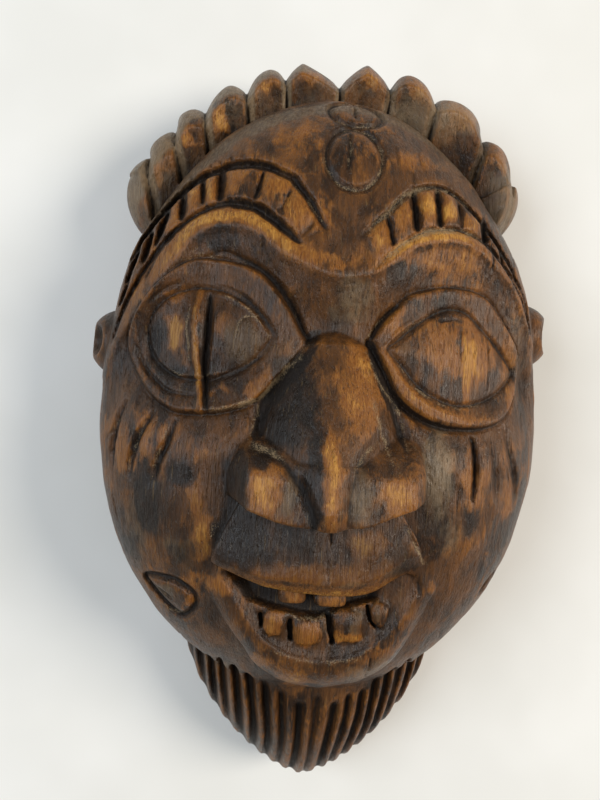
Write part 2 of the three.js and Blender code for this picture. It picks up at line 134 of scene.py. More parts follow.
# Edge of the shelf over both eye sockets
SHELF = [(-84, 14), (-79, 26), (-73, 34), (-68.1, 40), (-64.6, 45), (-59.5, 52), (-54.6, 58.5),
         (-51.4, 63), (-48, 66.3), (-42, 67.8), (-36, 67.8), (-31, 67), (-26.5, 65), (-21.9, 61.4),
         (-16.7, 57.5), (-9.9, 54.4), (-3.1, 52.1), (4, 51.8), (12, 54), (18.5, 58.5), (27, 65),
         (36, 67.6), (45, 68), (54, 65.4), (64, 58.5), (72, 50), (79, 36)]

# Each notch: x and y at its upper end, x and y at its lower end, half width, depth
BROWS = [
    {"upper": [(-76, 58), (-69, 70), (-61, 79.5), (-50.5, 87.5), (-44, 89.7), (-38.5, 91.3), (-32, 91.4),
               (-26.5, 90.3), (-21.7, 88), (-17, 85.4), (-13.8, 81.4), (-10.4, 77), (-7.6, 72.1),
               (-4.8, 66.8)],
     "upper_size": (2.7, 3.4),
     "lower": [(-80, 26), (-77, 36), (-70.5, 48.5), (-64, 58.5), (-57, 66.5), (-48.7, 72.4),
               (-39.8, 75.2), (-29.6, 74), (-21.7, 68.9), (-13.3, 61)],
     "lower_size": (1.7, 2.0),
     "notches": [(-17.2, 82.5, -20.7, 72.5, 0.8, 1.0), (-27.3, 88, -29.8, 77, 1.3, 2.0),
                 (-42.7, 90, -42.2, 77, 2.4, 3.2), (-49.6, 87.5, -48.4, 76, 1.4, 2.6),
                 (-56.6, 82.5, -55.9, 70.5, 1.9, 3.0), (-61.9, 76.4, -65.1, 61.3, 1.8, 3.0),
                 (-67.7, 67.5, -69.4, 55.2, 1.7, 2.8), (-72.6, 61.5, -76.5, 48.5, 1.7, 2.4),
                 (-75, 50.1, -78.4, 40, 1.2, 1.6), (-65.4, 54.6, -67.5, 48.7, 1.0, 1.2),
                 (-8.4, 71, -13.2, 63.5, 0.7, 0.8)]},
    {"upper": [(7.6, 65.5), (11.5, 70), (15.5, 74), (23.9, 83.3), (33.6, 87.6), (41.5, 86.6),
               (50.6, 80.5), (57.5, 74), (66, 64), (74.5, 50)],
     "upper_size": (1.7, 2.0),
     "lower": [(12, 54), (18.9, 61.3), (27.8, 68.3), (36, 71), (44.5, 71.8), (54.5, 69), (63.5, 61.5),
               (71, 52), (77, 39)],
     "lower_size": (1.5, 1.8),
     "notches": [(16.3, 74, 18.7, 63.5, 1.4, 2.4), (25.9, 84.5, 27.5, 69.5, 2.2, 3.4),
                 (35.2, 86.5, 36, 72, 1.9, 3.0), (43.6, 85.5, 44.2, 72.5, 0.8, 1.4),
                 (55, 78, 54.4, 69, 2.3, 2.7), (61.8, 70, 62.6, 62, 1.3, 1.9),
                 (68, 62.5, 69, 55, 1.1, 1.4), (73, 53, 74.5, 45, 0.9, 1.1)]},
]
ROOT_CUTS = [
    ([(12, 27), (15, 19), (18, 11), (22.5, 2), (26, -8)], 3.6, 4.2, dict(lean=-0.3, soft=0.15, ink=0.35)),
    ([(-5.5, 27), (-11.5, 18), (-17.6, 9.2), (-21.2, 4.6), (-22.8, -1), (-24.4, -8)], 3.6, 4.8,
     dict(lean=0.4, soft=0.15, ink=0.7)),
    ([(-9.5, 25.6), (-4, 26.2), (2, 26.6), (9.5, 26.6)], 1.2, 1.1, dict(lean=-0.3)),
    ([(2, 28.4), (6, 28.8), (10.5, 27.6)], 0.8, 0.8),
    ([(-44, 75.4), (-38, 75.6), (-30, 74.2), (-24, 70.4), (-18.5, 65.8), (-13, 60.8)], 2.7, 3.4,
     dict(ends=0.4, lean=0.2, ink=0.85)),
]
# Chisel hatching on the far wall of the groove over the left brow: where it starts, and how far it runs
HATCHING = [(-47, 92.5, 1.5, -4), (-43.5, 93.6, 1.2, -4), (-39.5, 94.6, 1.0, -4.2), (-35, 95, 0.6, -4),
            (-31, 94.8, 0.2, -4), (-26.5, 93.4, -0.3, -4), (-21.5, 91.2, -0.6, -3.6), (-59, 86, 2, -5),
            (-63, 82, 2, -5), (-67, 78, 2, -6), (-54.5, 89, 2, -4)]
# Rings on the forehead: centre, radius across and along, turn, depth, half width
RINGS = [(4.2, 94.4, 10.0, 12.6, 0.05, 1.7, 1.6), (5.2, 115.2, 10.0, 6.4, -0.1, 1.6, 1.5)]
LEFT_RING = [(-61.2, -57.9), (-57, -56.3), (-49.2, -56.6), (-43.1, -60.1), (-41.9, -65), (-45.5, -70.1),
             (-49.3, -70.2), (-55.4, -65.6), (-60.1, -60.8)]
RIGHT_RING = [(62.2, -59.4), (65.1, -54.7), (68.1, -52.2), (69, -54.5), (66.1, -58.1)]
RING_CUTS = [
    (LEFT_RING, 1.7, 2.0, dict(closed=True, lean=0.2)),
    (RIGHT_RING, 1.0, 1.1, dict(closed=True)),
    ([(2.8, 104), (2.6, 96), (1.8, 88.5)], 1.1, 1.4),
    ([(4.9, 118), (4.7, 115), (5.2, 112)], 1.1, 1.4),
    ([(-58.6, -60.7), (-54.5, -62.4), (-50.4, -64.6)], 1.0, 1.2),
]
# Mounds and dips of the face: centre, radius across and along, height
MOUNDS = [(0.5, 31, 14, 9, -2.6), (-46, -34, 20, 24, 2.4), (46, -34, 20, 24, 2.4), (1, -62, 34, 26, 2.6)]

# The nose: half width, height of the ridge and height of the foot along y; y of its lower edge along x
NOSE_WIDTH = [(-31, 11), (-24, 13), (-16, 19), (-8, 24), (0, 23.5), (10, 20), (20, 14.5), (28, 9.5), (31, 7)]
NOSE_RIDGE = [(-31, 99.6), (-26, 100.6), (-14, 98), (-2, 93), (10, 87.8), (20, 83.6), (27, 80.4)]
NOSE_FOOT = [(-31, 94), (-22, 90), (-12, 80), (-4, 0)]
NOSE_BOTTOM = [(-34, -24.8), (-24.5, -27.2), (-16.8, -29.7), (-12.1, -30.6), (-3.2, -31.2), (1.7, -31.2),
               (6.4, -30.6), (13.1, -29.7), (18.5, -27.4), (23.1, -25.7), (27.1, -24.4), (34, -22)]
WINGS = [
    {"side": -1, "front": 94.8, "lean": 0.13, "x": 24, "y": -28, "flank": 94.6, "steep": 1.9,
     "flank_x": 25.4, "edge": 0.3, "fall": 0.085, "inner": 14, "outer": 32.5},
    {"side": 1, "front": 95.2, "lean": 0.12, "x": 22, "y": -27, "flank": 94.5, "steep": 1.3,
     "flank_x": 27.0, "edge": 1.6, "fall": 0.075, "inner": 12, "outer": 30.5},
]
NOSE_CUTS = [
    ([(-27, -7.2), (-20.5, -8.8), (-15.2, -11.8), (-11.4, -16), (-8.7, -19.6), (-6.9, -23.5),
     (-5.2, -27.6), (-4.3, -33)], 2.8, 2.3, dict(ends=0.1, lean=-0.1, taper=(0.55, 1.1), ink=0.6)),
    ([(17.6, -1.2), (12.6, -5.2), (9, -10.4), (7.2, -16), (6.4, -21), (6, -27), (5.8, -33)], 3.2, 1.5,
     dict(ends=0.1, lean=0.1, taper=(0.6, 1.1), soft=0.1, ink=0.25)),
    ([(13.8, -4.6), (9, -11.6), (5.2, -19), (3.2, -25)], 0.6, 0.6),
    ([(-12.6, -15.6), (-11.6, -22), (-11.4, -29)], 0.5, 0.5),
]

UPPER_LIP = [(-27.5, -23), (-30.7, -30.2), (-32.8, -34.2), (-35.7, -41), (-37.4, -46), (-37.2, -47.6),
             (-32.7, -49.3), (-26.7, -51.3), (-19.4, -53.6), (-13.5, -54.6), (-6.9, -55), (-1, -55.1),
             (4.7, -55.5), (9.6, -55.6), (14.6, -55.4), (18.8, -54.2), (24.3, -51.3), (30.9, -48.7),
             (35.6, -47.2), (34.6, -42.7), (30.7, -34.5), (27, -29.6), (23, -22)]
LIP_CREST = [(-36.5, -44.8), (-26.7, -47.9), (-19.6, -49.5), (-12.2, -49.6), (-7.4, -50.2), (-0.2, -51.2),
             (5.6, -51), (10.4, -50.4), (14, -49.6), (18.4, -47.8), (23.1, -44.7), (27.2, -41.9),
             (34, -40)]
UPPER_LIP_CUTS = [
    ([(1.4, -31), (1.7, -34), (2.2, -38)], 0.8, 1.7, dict(ends=0.4)),
    ([(-0.4, -33), (0.6, -42), (0.2, -50)], 0.6, 0.6, dict(ends=0.4, ink=0.3)),
    ([(-11.6, -31), (-11.6, -44), (-11.2, -52.5)], 0.5, 0.6, dict(ends=0.4)),
    ([(26.6, -30.6), (29.8, -36.2), (32.8, -41.1), (36, -46.6)], 0.9, 0.9, dict(ends=0.3, ink=0.2)),
]
LOWER_LIP = [(-37, -52), (-36.5, -60.2), (-35, -62.9), (-31.5, -68.7), (-27.7, -73.8), (-24, -78.5),
             (-21.3, -83), (-17.6, -86), (-12.9, -89), (-7.5, -90.9), (-2.2, -91.7), (3.2, -92.3),
             (10.2, -90.9), (15.5, -90.4), (20.7, -88.1), (25.8, -85.1), (29.2, -81.4), (33.4, -74.2),
             (36.5, -66.2), (38.6, -59.7), (40, -51)]
LOWER_LIP_CUTS = [
    ([(18.2, -75.5), (18.8, -79), (18.2, -86)], 0.6, 1.2),
    ([(33.8, -51), (34.4, -56)], 1.2, 1.8),
    ([(-29, -58), (-26.8, -60.6), (-22.6, -66.6), (-17, -72), (-9, -76), (0, -77.6), (9, -76.4),
     (18, -72.4), (26, -65.4), (31, -58)], 0.8, 0.5, dict(ink=0.2)),
]
MOUTH = [(-33, -51), (-27.9, -56.6), (-26.4, -59.2), (-22.1, -64.7), (-18.5, -69.6), (-13.9, -73.1),
         (-8.8, -75.2), (-2, -76.6), (4.7, -76.4), (10.7, -75.1), (16.3, -72.5), (21.2, -69), (26, -64.4),
         (29.2, -60.2), (31.4, -56.7), (33.8, -50)]
MOUTH_GAP = [(-30.8, -54.8), (-26.5, -59), (-19, -61.4), (-12.8, -62.8), (-6, -64.2), (0.8, -64.6),
             (5.7, -62.6), (10.7, -60.8), (15.8, -59.2), (20.8, -57.7), (25.5, -54.5)]
# Each tooth: centre, half width, half height, lean
TEETH = [(-14.6, -66.9, 4.0, 4.4, 0.22), (-3.0, -69.3, 4.9, 4.5, -0.06), (10.8, -67.0, 5.3, 5.4, 0.12),
         (20.6, -62.8, 3.1, 4.4, 0.3)]
UPPER_TEETH = [(-9.2, -56.6, 4.6, 2.6), (3.6, -57.6, 5.4, 2.3)]
TOOTH_SLOTS = [
    [(-10.0, -65.4), (-8.6, -65.4), (-8.0, -73.0), (-9.9, -72.4)],
    [(2.4, -63.4), (4.3, -62.6), (6.6, -73.2), (4.7, -73.6)],
    [(16.2, -59.9), (17.1, -59.8), (18.4, -64.6), (20.6, -67.4), (19.6, -67.9), (17.4, -65)],
    [(-20.1, -63.9), (-18.9, -64.0), (-18.4, -68.6), (-19.5, -68.8)],
]

# Cuts on the cheeks: points, half width, depth, lean; and cracks, the same without the lean
CHEEK_CUTS = [
    ([(-70.5, 4.8), (-71.9, 2.8), (-74.3, -5.5), (-75.3, -13.3), (-75.3, -21.1)], 1.7, 2.0, 0.5),
    ([(-59.8, 1.8), (-60.8, -0.5), (-64.3, -7.4), (-66.4, -14.2), (-67.6, -22.9)], 1.9, 2.3, 0.5),
    ([(-51.7, -0.4), (-53.5, -8.2), (-55.9, -14), (-57.7, -22.5)], 1.9, 2.3, 0.5),
    ([(-72.5, 1), (-76, -6), (-79, -10)], 0.8, 0.7, 0.0),
    ([(49.3, -0.6), (51.4, -4.1), (52.3, -13.1), (51.5, -23.5)], 1.9, 3.2, 0.1),
    ([(57.6, 1), (59, -6), (60.6, -15), (61.2, -24)], 2.2, 1.2, 0.1),
    ([(64.2, 4), (67, -6), (69.3, -14), (71.4, -23)], 2.2, 1.3, 0.1),
]
CRACKS = [
    ([(56.8, 72.8), (57.4, 63.2), (56.5, 56)], 0.5, 1.0),
    ([(57.1, 46.7), (56.2, 36.6), (56.9, 24.8), (56.4, 15.2), (56, 5)], 0.5, 1.0),
    ([(43.9, -3.6), (45.7, -33.4), (44.5, -37.3)], 0.5, 0.8),
    ([(-27.9, 65.8), (-25.9, 61.6), (-26, 56.3), (-25.5, 53.9)], 0.8, 0.9),
    ([(-25.1, 58.1), (-21.3, 51.9), (-17.8, 48.7)], 0.6, 0.6),
    ([(-49, 54.5), (-39.7, 58.3), (-33.3, 56.6)], 0.6, 0.6),
    ([(31, 56.5), (31.8, 60), (31.2, 64)], 0.6, 0.8),
    ([(28, -6), (33, -10.5), (36, -14)], 0.6, 0.6),
    ([(16.5, -66), (18.8, -79), (18.2, -86)], 0.5, 0.9),
]
BEARD_START = [(-48, -86), (-40.8, -89), (-31.5, -89.5), (-25.8, -91), (-21.7, -94.5), (-17, -97.5),
               (-13.1, -100), (-6.1, -103), (7.3, -104), (14.9, -103), (22.4, -99.7), (29.7, -93.3),
               (35.1, -87.5), (48, -84)]

# The work grid, and maps over it: stain left in the cuts together with painted shade in them,
# dark gaps of the hair (painted shade), and bevels beside the gaps (painted grey sheen)
X1 = np.arange(-GRID_X, GRID_X + 0.01, STEP, dtype=np.float32)
Y1 = np.arange(-GRID_Y, GRID_Y + 0.01, STEP, dtype=np.float32)
Z1 = np.arange(-1.6 * STEP, GRID_TOP, STEP, dtype=np.float32)
X, Y = np.meshgrid(X1, Y1, indexing="ij")
CUT_STAIN_AND_SHADE, GAPS, BEVELS = [np.zeros(X.shape, dtype=np.float32) for _ in range(3)]


def smoothstep(low, high, value):
    t = np.clip((value - low) / (high - low), 0, 1)
    return t * t * (3 - 2 * t)


def soft_min(a, b, width):
    h = np.clip(0.5 + 0.5 * (b - a) / width, 0, 1)
    return b + (a - b) * h - width * h * (1 - h)


def soft_max(a, b, width):
    return -soft_min(-a, -b, width)


# Smooth uneven waves: sums of sines turned in different ways.
def waver(x, y, scale, seed=0.0):
    total = 0.0
    for k in range(5):
        turn = 2.399 * k + seed
        grow = 1.0 + 0.37 * k
        u = (x * math.cos(turn) + y * math.sin(turn)) * grow / scale
        total = total + np.sin(u + 1.7 * k + seed * 3.1 + 0.8 * np.sin(u * 0.53 + seed))
    return total / 3.2


# Shallow scoops of a gouge: low in the middle of each cell, with a ridge where two cells meet.
def scoops(x, y, across, along, seed):
    u = (x + 1.6 * waver(x, y, 9.0, seed)) / across
    v = (y + 2.5 * waver(x, y, 11.0, seed + 1.0)) / along
    column, row = np.floor(u), np.floor(v)
    best = np.full(x.shape, 9.0)
    for du in (-1, 0, 1):
        for dv in (-1, 0, 1):
            i, j = column + du, row + dv
            shift_u = np.abs(np.sin(i * 12.9898 + j * 78.233 + seed) * 4375.8545) % 1
            shift_v = np.abs(np.sin(i * 39.346 + j * 11.135 + seed * 1.7) * 2463.4634) % 1
            best = np.minimum(best, (u - i - shift_u) ** 2 + (v - j - shift_v) ** 2)
    return np.minimum(best, 1.0) - 0.25


def smooth_line(points, closed=False, per=8):
    p = np.array(points, dtype=np.float64)
    if closed:
        p = np.vstack([p[-1], p, p[0], p[1]])
    else:
        p = np.vstack([2 * p[0] - p[1], p, 2 * p[-1] - p[-2]])
    out = []
    for i in range(1, len(p) - 2):
        a, b, c, d = p[i - 1], p[i], p[i + 1], p[i + 2]
        for k in range(per):
            t = k / per
            out.append(0.5 * (2 * b + (c - a) * t + (2 * a - 5 * b + 4 * c - d) * t ** 2
                              + (3 * b - a - 3 * c + d) * t ** 3))
    out.append(out[0] if closed else p[-2])
    return np.array(out)


def straight_outline(points):
    return np.array([*points, points[0]], dtype=np.float64)


# Values read off a table of (place, value) pairs, with straight lines between them
def read(table, at):
    return np.interp(at, *zip(*table))


# Distance from points to a line, with the share of its length and the side on which the point lies.
def line_distance(x, y, line):
    best = np.full(x.shape, 1e9, dtype=np.float32)
    along = np.zeros_like(best)
    side = np.ones_like(best)
    length = np.hypot(*np.diff(line, axis=0).T)
    start = np.concatenate([[0], np.cumsum(length)])
    for k in range(len(line) - 1):
        (ax, ay), (bx, by) = line[k], line[k + 1]
        dx, dy = bx - ax, by - ay
        t = np.clip(((x - ax) * dx + (y - ay) * dy) / (dx * dx + dy * dy + 1e-12), 0, 1)
        ex, ey = x - ax - t * dx, y - ay - t * dy
        d = ex * ex + ey * ey
        closer = d < best
        best[closer] = d[closer]
        along[closer] = ((start[k] + t * length[k]) / start[-1])[closer]
        side[closer] = np.sign(dx * ey - dy * ex)[closer]
    return np.sqrt(best), along, side


def near_line(line, reach):
    low, high = line.min(axis=0) - reach, line.max(axis=0) + reach
    ix = slice(int(max(0, (low[0] - X1[0]) // STEP)), int(max(0, (high[0] - X1[0]) // STEP)) + 2)
    iy = slice(int(max(0, (low[1] - Y1[0]) // STEP)), int(max(0, (high[1] - Y1[0]) // STEP)) + 2)
    return ((ix, iy), *line_distance(X[ix, iy], Y[ix, iy], line))


# Signed distance to a closed outline over the grid, negative inside
def outline_distance(line, reach=60.0):
    where, d, _, _ = near_line(line, reach)
    x, y = X[where], Y[where]
    inside = np.zeros(x.shape, dtype=bool)
    for k in range(len(line) - 1):
        (ax, ay), (bx, by) = line[k], line[k + 1]
        if ay == by:
            continue
        crosses = (ay > y) != (by > y)
        inside ^= crosses & (x < ax + (y - ay) * (bx - ax) / (by - ay))
    full = np.full(X.shape, reach, dtype=np.float32)
    full[where] = np.where(inside, -d, d)
    return full


def raise_along(relief, points, half_width, height):
    where, d, t, _ = near_line(smooth_line(points), half_width * 2)
    shape = np.exp(-((d / half_width) ** 2) * 1.6) * np.sin(np.pi * np.clip(t, 0.001, 0.999)) ** 0.25
    relief[where] += height * shape


# A cut that is deepest on its line. With `lean` above 0 the wall on the line's left side is the steeper one.
# Over the share of its width given by the last keyword it is painted near black: stain in the cut, and
# painted shade in its depth.
def cut_along(cuts, points, half_width, depth, ends=0.35, lean=0.0, closed=False, soft=0.0,
              taper=None, ink=0.6):
    line = smooth_line(points, closed)
    where, d, t, side = near_line(line, half_width * 2.2 + 1)
    full = 1.0 if closed else np.sin(np.pi * np.clip(t, 0.004, 0.996)) ** ends
    if taper is not None:
        full = full * (taper[0] + (taper[1] - taper[0]) * t)
    width = half_width * (0.35 + 0.65 * full) * (1 - lean * side)
    u = np.clip(d / width, 0, 2.2)
    shape = depth * full * (np.clip(1 - u, 0, 1) + soft * np.exp(-u * u))
    cuts[where] = np.maximum(cuts[where], shape)
    CUT_STAIN_AND_SHADE[where] = np.maximum(CUT_STAIN_AND_SHADE[where], depth * full * np.clip(1 - u / ink, 0, 1))


def cuts_of(table):
    cuts = np.zeros(X.shape, dtype=np.float32)
    for points, half_width, depth, *others in table:
        cut_along(cuts, points, half_width, depth, **dict(*others))
    return cuts


def long_side(size, y):
    return np.where(y > 0, size["forehead"], size["chin"])


# Share of the way from the middle of an egg-shaped outline to its edge
def egg_reach(size, x, y):
    return np.sqrt((x / size["half_width"]) ** 2 + (y / long_side(size, y)) ** 2)


# Height of the plain face over the back, before carving
def face_height(x, y):
    reach = np.minimum(egg_reach(FACE, x, y), 0.9999)
    n = FACE["power"]
    return FACE["widest_at"] + (FACE["crown"] - FACE["widest_at"]) * (1 - reach ** n) ** (1 / n)


# The face steps back under a shelf over both eyes, and falls away below it.
def carve_orbits(relief):
    where, d, _, side = near_line(smooth_line(SHELF), 70)
    relief[where] += 0.7 * np.exp(-(d / 3.4) ** 2)
    fall = np.zeros(X.shape, dtype=np.float32)
    fall[where] = np.where(side < 0, 4.4 * smoothstep(0.5, 17, d) + 0.8 * smoothstep(0.8, 4, d), 0)
    relief -= fall * smoothstep(-14, 22, Y) * (1 - smoothstep(0.88, 1.0, egg_reach(FACE, X, Y)))


def carve_eyes(relief):
    rims = cuts_of(EYE_CREASES)
    for eye in EYES:
        outer = outline_distance(smooth_line(eye["lid"], True, 4), 40)
        inner = outline_distance(smooth_line(eye["ball"], True, 4), 40)
        out, into = np.clip(outer, 0, 40), np.clip(-outer, 0, 40)
        relief -= np.exp(-(out / 6.0) ** 2) * (outer > 0)
        share = into / (into + np.clip(inner, 0, 40) + 1e-3)
        lid = -0.9 + eye["rise"] * smoothstep(-0.02, 0.16, share) - 1.1 * smoothstep(0.2, 1.0, share)
        relief += np.where((outer < 0) & (inner > 0), lid, 0)
        depth = np.clip(-inner / 15, 0, 1)
        relief += np.where(inner <= 0, 0.3 + eye["crown"] * (1 - (1 - depth) ** 2), 0)
        cut_along(rims, eye["lid"], 0.9, 0.8, closed=True)
        cut_along(rims, eye["ball"], 1.1, 1.0, closed=True, lean=0.3)
    relief -= rims
    for points, half_width, height in EYE_RIDGES:
        raise_along(relief, points, half_width, height)
    cuts = cuts_of(EYE_CUTS)
    for x0, x1 in EYE_SPLITS:
        cut_along(cuts, [(x0, 37), ((x0 + x1) / 2 + 0.4, 25), (x1, 13)], 0.5, 0.7)
    relief -= cuts


# Long cuts of the gouge side by side that make the beard, and the bare chin above them
def beard_cuts(x, y):
    side = x - BEARD["x"]
    down = np.clip((BEARD["y"] - y) / BEARD["length"], 0, 1.2)
    edge = np.abs(side) / BEARD["spread"]
    strand = side * (1 + 0.12 * edge ** 2 + 0.22 * down) + 1.3 * waver(x * 0.6, y * 0.3, 7, 0.9)
    u = strand / BEARD["pitch"] + 0.35
    lane = np.floor(u)
    hatch = np.abs(np.sin(lane * 12.9898) * 4375.8545) % 1.0
    off_middle = u - lane - 0.46 - 0.08 * hatch
    v = np.abs(off_middle) / (0.28 + 0.11 * hatch)
    depth = (1.9 + 1.5 * hatch) * np.clip(1 - v ** 1.8, 0, 1)
    depth = depth + 0.4 * np.cos(2 * np.pi * off_middle) + 0.4 * waver(x * 1.4, y * 0.3, 1.8, 3.0)
    start = read(BEARD_START, x) - 3.4 * (hatch - 0.5) + 2.0
    begin = smoothstep(0, 5, start - y - 1.2 * np.clip(v, 0, 1) ** 2)
    # Dark in each groove of the beard: stain with painted shade.
    ink = (0.5 + 0.8 * hatch) * np.clip(1 - v / 0.85, 0, 1) ** 0.6 * begin
    return depth * begin, ink


# Each brow is a band between two cuts, and its notches leave rounded blocks.
def carve_brow(relief, cuts, brow):
    size, depth = brow["upper_size"]
    cut_along(cuts, brow["upper"], size, depth, ends=0.3, lean=0.35, soft=0.1, ink=0.85)
    size, depth = brow["lower_size"]
    cut_along(cuts, brow["lower"], size, depth, ends=0.3, lean=0.3, soft=0.1)
    band = [*smooth_line(brow["upper"]), *smooth_line(brow["lower"])[::-1]]
    bound = outline_distance(straight_outline(band))
    edge = np.clip(-bound, 0, 6)
    for x0, y0, x1, y1, width, deep in brow["notches"]:
        lean = 0.25 if x0 > 0 else -0.25
        middle = ((x0 + x1) / 2 + 0.3, (y0 + y1) / 2)
        cut_along(cuts, [(x0, y0), middle, (x1, y1)], 1.15 * width, deep, ends=0.15, lean=lean,
                  soft=0.12, taper=(1.1, 0.85), ink=0.75)
        where, d, _, _ = near_line(np.array([(x0, y0), (x1, y1)]), 8)
        edge[where] = np.minimum(edge[where], d)
    relief += 0.9 * (1 - np.exp(-(edge / 2.2) ** 2)) * (bound < 0) - 0.2 * (bound < 0)


def carve_rings(relief):
    for cx, cy, rx, ry, turn, depth, width in RINGS:
        u = ((X - cx) * math.cos(turn) + (Y - cy) * math.sin(turn)) / rx
        v = (-(X - cx) * math.sin(turn) + (Y - cy) * math.cos(turn)) / ry
        r = np.sqrt(u * u + v * v)
        groove = depth * np.clip(1 - np.abs((r - 1) * min(rx, ry)) / width, 0, 1)
        CUT_STAIN_AND_SHADE[:] = np.maximum(CUT_STAIN_AND_SHADE, 0.9 * groove - 0.6 + 0.3 * waver(X, Y, 1.4, 9.0))
        relief -= groove - np.where(r < 1, 0.7 * (1 - r * r), 0)
    relief -= cuts_of(RING_CUTS)
    relief += 0.8 * smoothstep(0, 4, -outline_distance(smooth_line(LEFT_RING, True), 12))


# The flats, scoops and scratches that the tools left, fewer on the eyes and towards the edge
def roughen(relief):
    left, right = [np.hypot((X - x) / 1.1, Y - y) for x, y in ((-42, 28), (43, 27))]
    calm = 1 - 0.55 * smoothstep(8, -4, np.minimum(left, right) - 24)
    calm = calm * (1 - 0.7 * smoothstep(0.72, 0.95, egg_reach(FACE, X, Y)))
    relief += calm * 0.62 * scoops(X, Y, 7.5, 12.0, 1.0) + 0.20 * scoops(X, Y, 2.3, 8.5, 5.0)
    relief += 0.28 * waver(X, Y, 9.0, 1.3)
    rng = np.random.default_rng(11)
    cuts = np.zeros(X.shape, dtype=np.float32)
    for _ in range(SCRATCHES):
        x, y = rng.uniform(-74, 74), rng.uniform(-90, 112)
        length, turn, bend = rng.uniform(3, 11), rng.normal(0, 0.35), rng.uniform(-0.6, 0.6)
        dx, dy = length * math.sin(turn), length * math.cos(turn)
        cut_along(cuts, [(x, y), (x + dx / 2 + bend, y + dy / 2), (x + dx, y + dy)], rng.uniform(0.45, 0.8),
                  rng.uniform(0.15, 0.5))
    relief -= cuts


# How far the carving stands above the plain face, seen from the front
def carve_relief():
    relief = np.zeros(X.shape, dtype=np.float32)
    carve_orbits(relief)
    carve_eyes(relief)
    cuts = cuts_of(ROOT_CUTS)
    for brow in BROWS:
        carve_brow(relief, cuts, brow)
    for x, y, dx, dy in HATCHING:
        cut_along(cuts, [(x, y), (x + dx / 2, y + dy / 2), (x + dx, y + dy)], 0.7, 1.0)
    for points, width, depth, lean in CHEEK_CUTS:
        cut_along(cuts, points, width, depth, ends=0.5, lean=lean, soft=0.1, ink=0.5)
    for points, width, depth in CRACKS:
        cut_along(cuts, points, width, depth, ends=0.6)
    relief -= cuts * (1 + 0.16 * waver(X + Y, X - Y, 1.5, 0.7))
    carve_rings(relief)
    for cx, cy, rx, ry, height in MOUNDS:
        relief += height * np.exp(-((X - cx) / rx) ** 2 - ((Y - cy) / ry) ** 2)
    roughen(relief)
    flutes, ink = beard_cuts(X, Y)
    CUT_STAIN_AND_SHADE[:] = np.maximum(CUT_STAIN_AND_SHADE, ink)
    return relief - flutes


# Solids given as fields: negative inside, in millimetres
def block(x0, x1, y0, y1, z0, z1):
    parts = []
    for low, high, line in ((x0, x1, X1), (y0, y1, Y1), (z0, z1, Z1)):
        first, last = int((low - line[0]) / STEP), int((high - line[0]) / STEP)
        parts.append(slice(max(0, first), min(len(line), last + 1)))
    return tuple(parts)


def z_of(where):
    return Z1[where[2]][None, None, :]


def wide(values, where):
    return values[where[0], where[1]][:, :, None]


def under_surface(height, where):
    gx, gy = np.gradient(height, STEP)
    steep = np.sqrt(1 + np.minimum(gx * gx + gy * gy, 12.0))
    return (z_of(where) - wide(height, where)) / wide(steep, where)


def egg_level(size, x, y, rise):
    n = size["power"]
    return (egg_reach(size, x, y) ** n + rise ** n) ** (1 / n)


def egg_field(size, base, top, wall=0.0):
    reach = egg_reach(size, X, Y) + 1e-6
    slope = np.sqrt((X / size["half_width"] ** 2) ** 2 + (Y / long_side(size, Y) ** 2) ** 2) / reach
    reach, slope = reach[:, :, None], np.maximum(slope, 1 / 140)[:, :, None]
    n = size["power"]
    rise = (np.maximum(Z1 - base, 0) / (top - base))[None, None, :]
    narrow = (1 - wall * (np.maximum(base - Z1, 0) / max(base, 1e-6)) ** 1.5)[None, None, :]
    level = (reach ** n + rise ** n) ** (1 / n)
    outwards = (reach / level) ** (n - 1) * slope
    upwards = (rise / level) ** (n - 1) / (top - base)
    steep = np.sqrt(outwards ** 2 + upwards ** 2)
    return ((level / narrow - 1) / steep).astype(np.float32)


# A wing of the nose: a flat front, a steep outer side and a rounded top
def wing_height(wing):
    u = wing["side"] * X
    front = wing["front"] - wing["lean"] * (u - wing["x"]) - 0.10 * (Y - wing["y"])
    flank = wing["flank"] - wing["steep"] * (u - wing["flank_x"])
    height = soft_min(front, flank, wing["edge"]) - wing["fall"] * np.clip(Y + 17, 0, 40) ** 2
    height = height - 0.02 * np.clip(wing["inner"] - u, 0, 40) ** 2
    return height - 0.9 * np.clip(u - wing["outer"], 0, 9) ** 2


def nose_field(where):
    half = read(NOSE_WIDTH, Y)
    middle = read([(-31, -0.3), (28, 0.7)], Y)
    ridge = read(NOSE_RIDGE, Y)
    foot = np.maximum(read(NOSE_FOOT, Y), face_height(middle + half, Y) - 5.5)
    u = np.abs(X - middle) / half
    flat = read([(-31, 1.5), (-10, 1.8), (28, 2.2)], Y)
    height = foot + (ridge - foot) * np.clip(1 - u ** flat, 0, 1) ** 0.85 - 14 * np.clip(u - 1, 0, 9)
    height = np.where(Y > 27.5, height - (Y - 27.5) * 1.4, height)
    height = soft_max(height, np.maximum(*map(wing_height, WINGS)), 0.9)
    height = height - cuts_of(NOSE_CUTS)
    height = height + 0.25 * scoops(X, Y, 2.2, 9.0, 8.0) + 0.3 * scoops(X, Y, 7.0, 10.0, 3.0)
    field = under_surface(height.astype(np.float32), where)
    bottom = read(NOSE_BOTTOM, X[:, 0])
    under = (bottom[where[0]][:, None] - Y[where[0], where[1]])[:, :, None] + 0.08 * (96 - z_of(where))
    field = soft_max(field, under, 0.5)
    return soft_max(field, 66 - z_of(where), 1.0)


